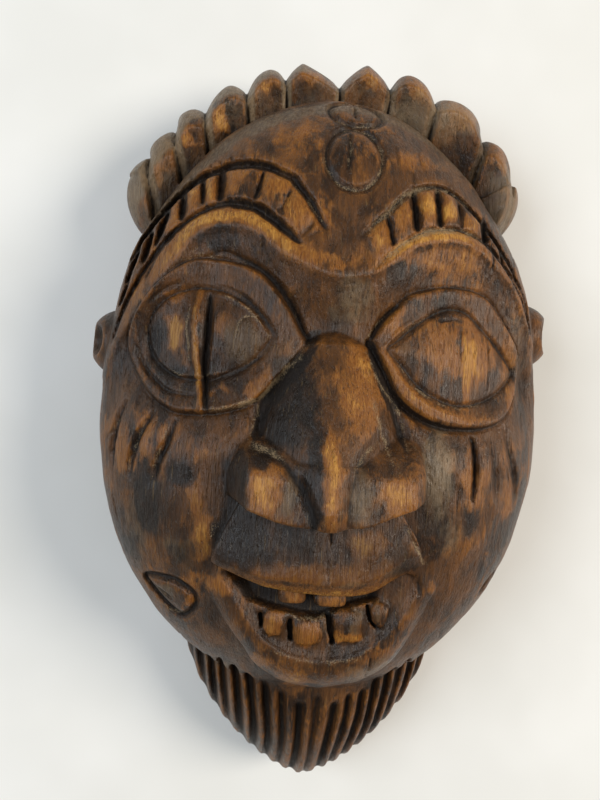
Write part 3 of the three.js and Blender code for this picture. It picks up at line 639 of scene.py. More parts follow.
# The mouth is cut in down to a floor, which drops behind the lower teeth.
def open_mouth(field, where):
    z = z_of(where)
    opening = outline_distance(smooth_line([*MOUTH, (16, -46), (0, -45), (-16, -46)], True, 4))
    gap = smoothstep(-0.4, 0.8, Y - read(MOUTH_GAP, X)) * smoothstep(-33, -28, X) * smoothstep(22, 17, X)
    floor = (76.9 - 4.6 * gap - 0.0016 * X ** 2 + 0.25 * scoops(X, Y, 3.5, 5.0, 2.0)).astype(np.float32)
    # Painted shadow: the gap under the upper lip is darkened as if in shade.
    CUT_STAIN_AND_SHADE[:] = np.maximum(CUT_STAIN_AND_SHADE, 1.2 * gap * (opening < -0.5) * (Y < -53))
    field = soft_max(field, -np.maximum(wide(opening, where), wide(floor, where) - z), 0.6)
    return soft_min(field, soft_max(wide(opening - 1.6, where), z - wide(floor, where), 0.4), 0.2)


# Lower lip: a broad roll, cut off square above the chin
def lower_lip_field(where):
    outer = outline_distance(smooth_line([*LOWER_LIP, (20, -40), (-20, -40)], True, 4))
    inner = outline_distance(smooth_line([*MOUTH, (30, -42), (0, -40), (-28, -42)], True, 4))
    inside, outside = np.clip(inner, 0, 60), np.clip(-outer, 0, 60)
    share = inside / (inside + outside + 1e-3)
    brink = face_height(X, Y) + 2.2 + 6.0 * np.clip(1 - (X / 34) ** 2, 0, 1)
    crest = 78.6 - 0.0018 * X ** 2
    height = crest - (crest - brink) * share ** 1.7 - 0.9 * (1 - smoothstep(0, 0.2, share))
    height = height - cuts_of(LOWER_LIP_CUTS) + 0.4 * scoops(X, Y, 5.0, 6.0, 4.0)
    lip = under_surface(height.astype(np.float32), where)
    lip = soft_max(lip, wide(outer, where), 0.8)
    return soft_max(lip, wide(-inner, where) - 0.6 * (78 - z_of(where)), 1.2)


# Lower teeth: blocks with dark slots between them, and the tips of upper teeth in the gap
def add_teeth(field, where):
    z = z_of(where)
    for x, y, half_x, half_y, lean in TEETH:
        u, v = X - x, Y - y
        d = (np.abs((u - lean * v) / half_x) ** 5 + np.abs((v + lean * u) / half_y) ** 5) ** 0.2
        top = 79.0 - 0.07 * u * u - 0.05 * v * v - 0.002 * (x - 3) ** 2 + 0.2 * waver(X, Y, 1.6, x)
        tooth = soft_max(wide((d - 1) * min(half_x, half_y), where), z - wide(top, where), 0.8)
        field = soft_min(field, tooth, 0.3)
    for x, y, half_x, half_y in UPPER_TEETH:
        d = ((np.abs(X - x) / half_x) ** 4 + (np.abs(Y - y) / half_y) ** 4) ** 0.25
        tooth = soft_max(wide((d - 1) * half_y, where), z - 80.6 + wide(0.03 * (X - x) ** 2, where), 0.8)
        field = soft_min(field, tooth, 0.3)
    slots = np.minimum.reduce([outline_distance(straight_outline(line), 20) for line in TOOTH_SLOTS])
    slots = slots + 0.25 * waver(X, Y, 0.9, 2.0)
    # Painted shade: the slots between the teeth are darkened.
    CUT_STAIN_AND_SHADE[:] = np.maximum(CUT_STAIN_AND_SHADE, 1.7 * smoothstep(0.5, -0.3, slots))
    return soft_max(field, -np.maximum(wide(slots, where), 73.5 - z), 0.7)


# Upper lip: a flat front under the nose, a worn edge, and a crisp lower rim
def upper_lip_field(where):
    z = z_of(where)
    shape = outline_distance(straight_outline(UPPER_LIP), 40)
    crest_y = read(LIP_CREST, X)
    above, below = np.clip(Y - crest_y, 0, 60), np.clip(crest_y - Y, 0, 9)
    height = 87.2 - 0.0046 * X ** 2 - 0.03 * above - 0.0022 * above ** 2 - 0.85 * below
    height = height - cuts_of(UPPER_LIP_CUTS) + 0.35 * scoops(X, Y, 4.5, 7.0, 6.0)
    height = height + 0.12 * waver(X * 2.5, Y * 0.4, 2.0, 1.1)
    lip = under_surface(height.astype(np.float32), where)
    lip = soft_max(lip, wide(shape, where) + 0.12 * (84 - z), 0.5)
    return soft_max(lip, 70 - z, 1.0)


# The edge of the hair at each angle: how far out it reaches, and how far each pleat swells
def pleat_edge(angle, turn, lows):
    out = np.full(angle.shape, 60.0)
    swell = np.zeros(angle.shape)
    for (a0, r0, tip_angle, tip_radius, left_power, right_power), (a1, r1) in zip(PLEATS, lows[1:]):
        before = angle < tip_angle
        u = np.where(before, (tip_angle - angle) / (tip_angle - a0), (angle - tip_angle) / (a1 - tip_angle))
        u = np.clip(u, 0, 1)
        low = np.where(before, r0, r1)
        within = (angle >= a0) & (angle <= a1)
        shape = 1 - u ** np.where(before, left_power, right_power)
        out = np.where(within, low + (tip_radius - low) * shape, out)
        swell = np.where(within, 1 - u * u, swell)

    # The outermost pleats round off towards the ears.
    out = np.where(turn > 62, np.minimum(out, 87.2 - 0.075 * (turn - 62) ** 2), out)
    return np.where(turn < -68, np.minimum(out, 88.4 - 0.055 * (turn + 68) ** 2), out), swell


# Hair: pleats that fan out round the forehead
def hair_field(where):
    ix, iy, _ = where
    x, y, z = X[ix, iy], Y[ix, iy] - HAIR_CENTRE, z_of(where)
    radius = np.hypot(x, y)
    turn = np.degrees(np.arctan2(x, y))
    upright = np.arcsin(np.clip(x / np.maximum(HAIR_RADIUS, radius), -1, 1))
    angle = np.degrees(0.75 * upright + 0.25 * np.arctan2(x, y)) + 0.4 * waver(x, y, 7.0, 2.0)
    spacing = HAIR_RADIUS * (0.3 + 0.7 * np.cos(upright)) * np.pi / 180
    lows = [(a, r) for a, r, *_ in PLEATS] + [HAIR_END]
    out, swell = pleat_edge(angle, turn, lows)

    # Bevels beside each gap; on the left the pleats overlap like shingles
    groove, line = np.zeros(x.shape), np.zeros(x.shape)
    for a, _ in lows[1:-1]:
        across = (angle - a) * spacing
        right_width, left_width = (4.2, 0.9) if a < -20 else (1.3, 3.8) if a > 20 else (3.0, 3.0)
        width = np.where(across > 0, right_width, left_width)
        groove = np.maximum(groove, np.clip(1 - np.abs(across) / width, 0, 1))
        # Dark line in each gap: painted shade, darkest near the face as painted shadow pits.
        thin = np.clip(1 - np.abs(across) / 0.9, 0, 1)
        line = np.maximum(line, thin * (0.7 + 1.2 * smoothstep(74, 64, radius)))
    BEVELS[ix, iy] = smoothstep(0.1, 0.4, groove) * (radius > 60)
    GAPS[ix, iy] = 1.5 * line * (radius > 56) * (radius < out - 1.5)
    ends = np.minimum(turn - PLEATS[0][0], HAIR_END[0] - turn) * np.pi / 180 * radius
    bulge = np.where(z < 26, 3.0 * ((26 - z) / 26) ** 2, 10.0 * (np.clip(z - 26, 0, 30) / 16) ** 2)
    outside = (radius - out)[:, :, None] + bulge
    top = 42.5 - 0.66 * np.clip(out - 8.5 - radius, 0, 40) - 3.0 * groove - 1.2 * line + 0.8 * swell
    top = top + 0.35 * waver(angle * 1.2, radius * 0.3, 2.2, 1.0)
    top = top + 0.5 * scoops(X[ix, iy], Y[ix, iy], 5.0, 5.0, 7.0)
    cut = (0.6 * groove)[:, :, None] * smoothstep(4, 16, z)
    field = soft_max(outside + cut, (z - top[:, :, None]) * 0.84, 1.2)
    field = soft_max(field, -ends[:, :, None], 1.2)
    return soft_max(field, (52 - radius)[:, :, None], 1.0)


def ball(where, centre, radii):
    places = (wide(X, where), wide(Y, where), z_of(where))
    u, v, w = [(place - middle) / radius for place, middle, radius in zip(places, centre, radii)]
    return (np.sqrt(u * u + v * v + w * w) - 1) * radii[0]


def ear_field(where, side, y):
    lug = ball(where, (side * 81, y, 28), (12.6, 13.5, 17))
    bowl = ball(where, (side * 93, y + 0.5, 40), (7.5, 7.5, 13))
    return soft_max(lug, -bowl, 1.2)


def beard_field(where):
    ix, iy, _ = where
    x, y, z = X[ix, iy], Y[ix, iy], z_of(where)
    flutes, _ = beard_cuts(x, y)
    across = np.abs(x - BEARD["x"]) / BEARD["half_width"]
    down = np.clip((BEARD["y"] - y) / BEARD["length"], 0, 3)
    reach = (across ** 1.5 + down ** 1.5) ** (1 / 1.5)
    flutes = flutes * (1 - 0.5 * smoothstep(0.82, 1.0, reach))
    top = BEARD["edge"] + (BEARD["top"] - BEARD["edge"]) * np.clip(1 - reach ** 2.2, 0, 1) ** 0.8
    surface = (z - (top - flutes)[:, :, None]) * 0.72
    outline = ((reach - 1) * BEARD["spread"] + 0.2 * flutes)[:, :, None] + 2.5 * smoothstep(16, 0, z)
    chip_x, chip_y, chip_radius = BEARD["chip"]
    chip = (np.hypot((x - chip_x) * 0.8, y - chip_y) - chip_radius)[:, :, None]
    field = soft_max(surface, outline, 1.8)
    field = soft_max(field, -chip, 0.5)
    return soft_max(field, (y + 74)[:, :, None], 2.0)


def carve():
    field = egg_field(FACE, FACE["widest_at"], FACE["crown"], 1 - FACE["back_share"])
    field -= carve_relief()[:, :, None] * smoothstep(33, 47, Z1)[None, None, :]
    temples = 2.0 * np.exp(-((np.abs(X) - 80) / 16) ** 2 - ((Y - 62) / 20) ** 2)
    field -= temples[:, :, None].astype(np.float32)

    where = block(-42, 42, -36, 36, 60, 106)
    field[where] = soft_min(field[where], nose_field(where), 0.6)
    where = block(-43, 43, -99, -20, 56, 100)
    mouth = soft_min(open_mouth(field[where], where), lower_lip_field(where), 0.4)
    field[where] = soft_min(add_teeth(mouth, where), upper_lip_field(where), 0.3)
    where = block(-97, 97, 60, 153, -9, 50)
    field[where] = soft_min(field[where], hair_field(where), 0.7)
    for side, y in EARS.values():
        where = block(min(side * 97, side * 66), max(side * 97, side * 66), y - 20, y + 20, 6, 50)
        field[where] = soft_min(field[where], ear_field(where, side, y), 1.5)
    where = block(-58, 62, -153, -70, -9, 64)
    field[where] = soft_min(field[where], beard_field(where), 0.9)

    hollow = egg_field(HOLLOW, 0.0, HOLLOW["depth"])
    gouges = 0.5 * waver(X, Y * 0.3, 5.0, 4.0) + 0.3 * waver(X, Y, 2.6, 5.0)
    field = np.maximum(field, -(hollow + gouges[:, :, None] * smoothstep(2, 10, Z1)))
    return np.maximum(field, -Z1[None, None, :])


# The surface of a field: one point in each cell that it crosses, and a square for each crossed edge.
def surface(field):
    inside = field < 0
    size = tuple(n - 1 for n in field.shape)
    corners = [(dx, dy, dz) for dx in (0, 1) for dy in (0, 1) for dz in (0, 1)]
    mixed = np.zeros(size, dtype=np.uint8)
    for dx, dy, dz in corners:
        mixed += inside[dx:dx + size[0], dy:dy + size[1], dz:dz + size[2]]
    cells = np.nonzero((mixed > 0) & (mixed < 8))
    number = np.full(size, -1, dtype=np.int32)
    number[cells] = np.arange(len(cells[0]))
    value = {c: field[cells[0] + c[0], cells[1] + c[1], cells[2] + c[2]] for c in corners}
    total = np.zeros((len(cells[0]), 3))
    count = np.zeros(len(cells[0]))
    for a in corners:
        for axis in range(3):
            if a[axis]:
                continue
            b = tuple(1 if k == axis else a[k] for k in range(3))
            crosses = (value[a] < 0) != (value[b] < 0)
            t = np.where(crosses, value[a] / np.where(crosses, value[a] - value[b], 1), 0)
            spot = np.tile(np.array(a, dtype=np.float64), (len(t), 1))
            spot[:, axis] = t
            total += spot * crosses[:, None]
            count += crosses
    points = (np.stack(cells, axis=1) + total / count[:, None]) * STEP + np.array([X1[0], Y1[0], Z1[0]])

    quads = []
    for axis in range(3):
        low, high = [slice(None)] * 3, [slice(None)] * 3
        low[axis], high[axis] = slice(0, -1), slice(1, None)
        a, b = inside[tuple(low)], inside[tuple(high)]
        spots = np.array(np.nonzero(a != b))
        u, v = (axis + 1) % 3, (axis + 2) % 3
        ok = (spots[u] > 0) & (spots[v] > 0) & (spots[u] < size[u]) & (spots[v] < size[v])
        spots = spots[:, ok]
        outward = a[tuple(spots)]
        ring = []
        for du, dv in ((0, 0), (1, 0), (1, 1), (0, 1)):
            at = spots.copy()
            at[u] += du - 1
            at[v] += dv - 1
            ring.append(number[tuple(at)])
        ring = np.stack(ring, axis=1)
        ring[~outward] = ring[~outward][:, ::-1]
        quads.append(ring)
    return points, np.concatenate(quads)


def make_mask():
    points, quads = surface(carve())
    mesh = bpy.data.meshes.new("raw")
    mesh.vertices.add(len(points))
    mesh.vertices.foreach_set("co", (points / 1000).astype(np.float32).ravel())
    mesh.loops.add(len(quads) * 4)
    mesh.loops.foreach_set("vertex_index", quads.astype(np.int32).ravel())
    mesh.polygons.add(len(quads))
    mesh.polygons.foreach_set("loop_start", np.arange(0, len(quads) * 4, 4, dtype=np.int32))
    mesh.update(calc_edges=True)
    piece = bpy.data.objects.new("carved_mask_sculpt", mesh)
    bpy.context.scene.collection.objects.link(piece)

    # The back and the hollow are thinned first, so that the face keeps the finer mesh.
    rise = np.maximum(points[:, 2], 0) / HOLLOW["depth"]
    behind = (egg_level(HOLLOW, points[:, 0], points[:, 1], rise) < 1.05) | (points[:, 2] < 4)
    piece.vertex_groups.new(name="back").add(np.nonzero(behind)[0].tolist(), 1.0, "REPLACE")
    total = 2 * len(quads)
    back = 2 * np.count_nonzero(behind[quads].all(axis=1))
    first = total - back + min(back, BACK_TRIANGLES)
    for name, share, invert in (("thin_back", first / total, False), ("thin_front", TRIANGLES / first, True)):
        thin = piece.modifiers.new(name, "DECIMATE")
        thin.ratio = min(1.0, share)
        thin.use_collapse_triangulate = True
        thin.vertex_group = "back"
        thin.invert_vertex_group = invert
    bpy.context.view_layer.update()
    slim = bpy.data.meshes.new_from_object(piece.evaluated_get(bpy.context.evaluated_depsgraph_get()))
    piece.modifiers.clear()
    piece.data = slim
    piece.vertex_groups.clear()
    bpy.data.meshes.remove(mesh)
    slim.name = "carved_mask_sculpt"
    slim.polygons.foreach_set("use_smooth", np.ones(len(slim.polygons), dtype=bool))
    return piece


# Where the stain has worn through, where it is darkest, where a grey sheen is painted in as a highlight,
# where dust lies as a thin film with a painted sheen, and where the tone is deeper, partly stain and partly
# painted shade: centre, half width, half height, strength
GOLD = [
    (-54.9, 28.8, 3.6, 5.2, 1.0), (-38.2, 31.5, 1.5, 4.2, 0.6), (-49.8, 19.7, 1.6, 4.0, 0.5),
    (-56.7, 43.4, 4.4, 1.8, 0.55), (-15.6, 25.0, 2.6, 3.0, 0.4), (-20.6, 15.5, 3.6, 3.4, 0.5),
    (-39.0, 9.6, 3.6, 1.8, 0.5), (48.6, 27.5, 3.8, 6.4, 0.9), (-23.1, 83.8, 5.6, 4.6, 0.75),
    (-15.1, 74.6, 3.6, 6.1, 0.7), (-39, 84, 4.3, 4.0, 0.5), (-46.1, 82.1, 1.9, 4.3, 0.85),
    (-52.5, 78.8, 2.4, 4.3, 0.7), (-59.6, 71, 2.0, 5.1, 0.7), (-66, 62, 1.6, 4.6, 0.6),
    (30.7, 79.6, 2.4, 5.4, 1.0), (39.4, 79.5, 2.6, 4.8, 1.0), (48.5, 76.2, 3.2, 3.2, 0.8),
    (21.9, 74.2, 2.4, 5.0, 0.6), (14.5, 66.5, 4.0, 5.4, 0.6), (8.5, 14.2, 6.4, 12.5, 0.62),
    (-0.6, -9, 2.4, 9.5, 0.8), (-20.6, -21, 4.2, 6.6, 0.85), (21, -20, 6.4, 5.2, 0.75),
    (-15.2, 100.5, 7.4, 7.1, 0.4), (26.5, 96.1, 9.5, 3.6, 0.4), (-7, 67.8, 4.0, 10.1, 0.4),
    (-3.1, 55.8, 10.0, 2.7, 0.6), (-72.6, -14.4, 1.8, 6.4, 0.6), (-43, -23.1, 2.2, 8.4, 0.6),
    (-40.5, -40, 3.2, 9.5, 0.75), (-62.8, -6.7, 1.6, 5.6, 0.5), (-55.6, -8.1, 1.4, 4.1, 0.5),
    (66.1, -22.1, 2.6, 9.2, 0.5), (-25.5, 12.3, 5.0, 2.2, 0.4), (-14.3, -67.5, 2.6, 3.1, 0.75),
    (-2.8, -70.2, 4.0, 3.2, 0.6), (11, -70, 4.2, 2.6, 0.75), (-7.4, -87, 4.0, 3.2, 0.8),
    (-17.8, -80, 3.6, 2.8, 0.4), (-30.3, 130.5, 3.6, 2.8, 0.8), (-45.6, 115.5, 2.2, 4.6, 0.9),
    (-58.9, 107, 3.6, 2.6, 0.85), (-11.1, 136, 3.6, 3.2, 0.7), (12, 137.4, 3.8, 3.4, 0.75),
    (32.1, 134, 4.2, 3.4, 0.6), (49.9, 124.2, 5.0, 5.2, 0.6), (66.8, 109, 2.8, 6.2, 0.6),
    (-70, 93, 3.0, 4.0, 0.4), (-41, -55.5, 4.5, 3.2, 0.5), (40.5, 6, 9.0, 2.2, 0.5),
    (67.5, 14, 2.2, 7.0, 0.5), (14, -37, 8.0, 3.6, 0.75), (-31.5, -48.2, 3.4, 1.6, 0.6),
    (7, 58, 8.0, 3.0, 0.45), (-76, -9, 1.6, 4.2, 0.5), (-42.6, -62, 1.6, 4.0, 0.6), (38, 60, 16, 6, 0.6),
    (44, 54, 14, 3, 0.5), (68, 45, 4, 8, 0.4), (66, 30, 2.4, 8, 0.45), (20, 36, 2.0, 4.0, 0.5),
    (-8, -57.5, 3.4, 1.2, 0.5), (5, -58.4, 4, 1.0, 0.5), (-70, 45, 2.4, 4.6, 0.6),
    (-32, -76, 1.6, 4, 0.3), (3, -96, 14, 3.4, 0.35), (-67.9, -16.1, 2.0, 5.0, 0.7),
    (46, 29, 12, 11, 0.5), (52, -19, 4, 8, 0.45), (-33, -55, 4, 4, 0.5),
]
# The same along lines: points, half width, strength
GOLD_LINES = [
    (LEFT_SLIT, 1.1, 0.9),
    (RIGHT_SLIT, 1.6, 0.9),
    ([(-68, 42), (-62.5, 51.5), (-57, 58.5), (-53, 64.5), (-49, 68.1), (-45.2, 69.6), (-39.5, 70.3),
      (-33.5, 70.2), (-28, 68.4), (-23, 64.6), (-17.5, 60.2), (-10, 57), (-4, 55)], 2.4, 0.95),
    ([(13, 55.5), (20, 61), (28, 66.3), (36, 68.8), (45, 69.3), (53, 67)], 2.2, 1.0),
    ([(-31, -49.4), (-20.6, -52.3), (-12.8, -53.5), (1.6, -54), (13.7, -53.9), (20, -51.4),
      (27, -48.6)], 1.5, 0.85),
    ([(-22, -46), (-10, -47.4), (-2, -47), (10, -46.6), (20, -44.6)], 2.6, 0.6),
    ([(-0.8, -14), (-0.2, -22), (0.6, -31)], 1.3, 0.8),
    ([*RIGHT_FOLD, (56, 7)], 1.8, 0.6),
    ([(10, 24), (14, 15), (18.5, 6)], 1.3, 0.5),
]
DARK = [
    (-13.6, 9.2, 7.4, 15.5, 1.0), (-17, 0, 6.0, 8.0, 0.9), (-5.2, -10.4, 2.8, 14.2, 0.8),
    (-30.2, -19, 4.6, 10.0, 1.0), (-21.8, -10.5, 5.5, 3.2, 0.8), (-27.1, -37, 9.0, 10.5, 1.0),
    (-9.9, -36.2, 9.6, 5.4, 0.6), (-61.8, 26.1, 2.6, 8.7, 0.8), (-56, 16.4, 6.6, 2.1, 0.8),
    (-6.4, 29.5, 2.8, 3.0, 0.9), (14.5, 23.6, 2.2, 9.0, 0.6), (-55.8, -32.2, 7.6, 10.4, 0.6),
    (0.5, -90, 2.6, 2.5, 1.0), (-42.1, 62.4, 8.6, 3.4, 0.7), (-1.5, 92.9, 2.8, 9.9, 0.5),
    (-24.5, 58.0, 5.0, 4.0, 0.4), (-9, 45, 5.5, 9.0, 0.45), (-48.8, 12.5, 3.5, 2.0, 0.4),
    (-31.4, -84.0, 4.2, 5.0, 0.5), (-60.2, -29.1, 5.0, 10.0, 1.0), (-49.4, -18.6, 3.6, 6.0, 0.9),
    (-67.7, -47.6, 4.0, 6.0, 0.7), (-48.7, -45.3, 3.0, 5.0, 0.6), (69, -40, 5.0, 12.0, 0.4),
    (74, 8, 3.4, 12.0, 0.4), (6.5, -36.5, 3.5, 5.4, 0.45), (-24, -43, 9, 5, 0.7), (26, -41, 6, 6, 0.5),
    (-36, -66, 4.0, 5.0, 0.4), (33, -44, 3.0, 4.0, 0.4), (10, 84, 6.0, 5.0, 0.3), (34, -62, 4, 6, 0.3),
    (-38, 22, 4, 6, 0.3), (26.3, 22.5, 2.6, 5, 0.5), (33, 14.6, 3.6, 2.4, 0.5), (-32, 30, 7, 8, 0.3),
    (60, -10, 3, 10, 0.4), (-72, -36, 3, 8, 0.4), (-5.4, -26, 2.0, 6.0, 0.9), (-8.6, -19, 2.0, 5.0, 0.8),
]
# Painted grey sheen: greyish highlights painted on the wood
GREY_SHEEN = [
    (5.8, 44.7, 7.0, 8.0, 0.6), (36.1, -9.1, 5.0, 12.0, 0.6), (-30.6, 26.8, 7.0, 8.3, 0.8),
    (9.5, -20.4, 3.6, 7.9, 0.7), (-12.6, -21.3, 2.8, 7.4, 0.9), (14.6, -87.3, 4.3, 2.9, 0.6),
    (-44.5, -46.7, 4.1, 6.9, 0.5), (-66, -42.7, 4.5, 14.6, 0.6), (-53.5, -60.5, 4.0, 3.0, 0.9),
    (26, 25.8, 3.5, 4.5, 0.5), (32, -18, 4.0, 6.0, 0.4), (24, -47.4, 4.5, 2.4, 0.55),
    (8, -50.6, 5.0, 1.6, 0.5), (-21, -46.4, 3.2, 1.6, 0.4), (12, -65, 3, 3, 0.7), (20.5, -62, 2, 3, 0.7),
    (3, -67.5, 2, 3, 0.6), (25, -82, 8, 4, 0.5), (-27, -84, 5, 4, 0.5), (-34, -94, 10, 6, 0.7),
    (-49, -44, 4, 5, 0.8),
]
# Painted grey sheen along the rims of the forehead and a brow
GREY_SHEEN_LINES = [
    ([(-77, 60), (-72, 73), (-66, 78), (-61, 83), (-56, 88), (-50, 94), (-40, 103), (-24, 112), (0, 118),
     (24, 115), (44, 104), (60, 90), (72, 70)], 3.4, 1.0),
    ([(-74, 74), (-66, 88), (-56, 100), (-42, 109), (-24, 117), (-10, 120)], 3.0, 0.5),
    ([(36, 71), (45, 71.6), (54, 69.6)], 1.0, 0.5),
]
# A thin dust film that is also a painted sheen on the right forehead, nose bridge and hair
DUST_AND_SHEEN = [
    (40, 126, 30, 12, 0.8), (70, 92, 10, 22, 0.8), (44, 100, 12, 12, 0.35), (38, -14, 6, 16, 0.9),
    (44, -34, 5, 8, 0.5), (-40, 122, 26, 12, 0.4), (-72, 90, 12, 20, 0.45), (10, -24, 6, 8, 0.5),
    (20, -84, 12, 5, 0.6), (5, 42, 10, 8, 0.5), (-18, 22, 8, 10, 0.35), (70, 30, 8, 20, 0.4),
    (0, 130, 20, 10, 0.4), (9, -50, 7, 2.4, 0.5),
]
# Deeper tone: stain, mostly on the left, and painted shade on the upper lip under the nose
DEEP_TONE_AND_SHADE = [
    (-45, 26, 38, 34, 0.75), (-8, -41, 36, 11.5, 1.25), (-56, -26, 24, 34, 0.45), (-22, -66, 20, 14, 0.5),
    (-30, -38, 12, 12, 0.8), (10, -41, 28, 11, 1.15), (4, -84, 34, 8, 0.5), (-38, 60, 20, 7, 0.5),
    (-14, 10, 12, 24, 0.4), (48, 92, 20, 14, 0.55), (66, -10, 12, 26, 0.3), (30, -45, 12, 14, 0.3),
]
DUST_LINES = [
    ([(-8.8, 26.6), (-14.5, 19.5), (-20.4, 13), (-24, 8.4), (-32, 4.8), (-40, 3)], 0.8, 1.0),
    ([(-24, 7), (-25, 0), (-26.4, -6)], 0.5, 0.8),
    ([(-5, 67), (-11, 76.5), (-17.6, 83.5)], 0.5, 0.7),
    ([(27.2, -31.3), (29.8, -36.2), (32.8, -41.1), (36.2, -46.6)], 0.5, 1.0),
    ([(-22, 28.8), (-26.4, 35.2), (-33, 40.6), (-40, 43.4)], 0.5, 0.7),
    ([(-36.5, 16.4), (-46, 14.6), (-53, 15.2), (-58.6, 18.8)], 0.4, 0.6),
    ([(-49.6, 38.5), (-50.6, 31.8), (-50.1, 24.9), (-48.5, 19.1)], 0.45, 0.9),
    ([(-33.3, 28.3), (-32.6, 33.3), (-29.1, 35.9), (-24.7, 35.8)], 0.35, 0.8),
    ([(8.5, 66), (15.5, 73.5), (23.9, 82.7), (33.6, 87), (41.5, 86), (50, 81)], 1.3, 0.8),
    ([(12.5, 54.5), (18.9, 60.6), (27.8, 67.6), (36, 70.4), (44.5, 71.2), (53, 69)], 1.3, 0.9),
    ([(2.8, 103), (2.6, 96), (2.0, 89.5)], 0.5, 0.7),
    ([(-6, 99), (-6.2, 92), (-3.5, 86), (1, 82.6), (6, 82), (10.5, 84.5), (13.6, 90), (14.3, 97),
     (11, 104), (4, 107), (-3, 104)], 0.7, 0.7),
    ([(-5, 113.6), (0, 110), (7, 108.8), (13, 111)], 0.5, 0.6),
    ([(-62.7, -2), (-66.4, -12), (-69, -22)], 0.5, 0.7),
    ([(-53.7, -2), (-57.4, -13), (-59.4, -22)], 0.5, 0.7),
    ([(-72, 1), (-77, -8)], 0.5, 0.5),
    ([(-26, -7), (-20.4, -8.2), (-14.8, -11)], 1.0, 0.8),
    ([(12.6, 12), (17, -2), (21.5, -13)], 0.9, 0.8),
    ([(16, -3), (11, -7.5), (7.6, -13)], 0.8, 0.7),
    ([(-35.5, -33), (-38, -41)], 1.4, 0.5),
    ([(-18, -74.6), (-8, -78), (3, -79), (14, -77), (24, -70)], 0.6, 0.5),
    ([(-12, -63.6), (-5, -65.4), (2, -64.6), (7, -62.8)], 0.5, 0.7),
    ([(-58, -67), (-50, -70.9), (-43, -67.5)], 0.5, 0.6),
    ([(10.4, 28), (13.6, 34.5), (18, 40)], 0.5, 0.8),
    ([(11, 26.5), (14, 20), (17.6, 13), (21.6, 8.6), (25, 3), (26, -6)], 0.6, 0.9),
    ([(19.2, 26.2), (24, 20.6), (30, 14), (38, 10), (47, 8.6), (54, 10.4)], 0.45, 0.8),
    ([(20, 30), (27, 36.6), (34, 41.4)], 0.4, 0.6),
    ([(-60, 50.4), (-54, 55), (-48, 56.8), (-40, 56.8)], 0.6, 0.5),
    ([(26, -2), (32, -7.6), (38, -12)], 0.5, 0.5),
    ([(-47.8, 40), (-48.2, 30), (-47.6, 20)], 0.3, 0.6),
]


# How far each point stands out from its smoothed surroundings, near and far
def bulges(mesh, p, normal):
    count = len(p)
    edges = np.zeros(len(mesh.edges) * 2, dtype=np.int32)
    mesh.edges.foreach_get("vertices", edges)
    a, b = edges.reshape(-1, 2).T
    degree = np.bincount(np.concatenate([a, b]), minlength=count)
    q, out = p, []
    for rounds in (8, 60):
        for _ in range(rounds):
            near = [np.bincount(a, line[b], count) + np.bincount(b, line[a], count) for line in q.T]
            q = 0.5 * (q + np.stack(near, axis=1) / degree[:, None])
        out.append(np.einsum("ij,ij->i", p - q, normal))
    return out


# Values of maps over the grid at the points (x, y)
def read_maps(maps, x, y):
    at_x = np.clip((x - X1[0]) / STEP, 0, len(X1) - 2)
    at_y = np.clip((y - Y1[0]) / STEP, 0, len(Y1) - 2)
    ix, iy = at_x.astype(int), at_y.astype(int)
    tx, ty = at_x - ix, at_y - iy
    return [(m[ix, iy] * (1 - tx) + m[ix + 1, iy] * tx) * (1 - ty)
            + (m[ix, iy + 1] * (1 - tx) + m[ix + 1, iy + 1] * tx) * ty for m in maps]
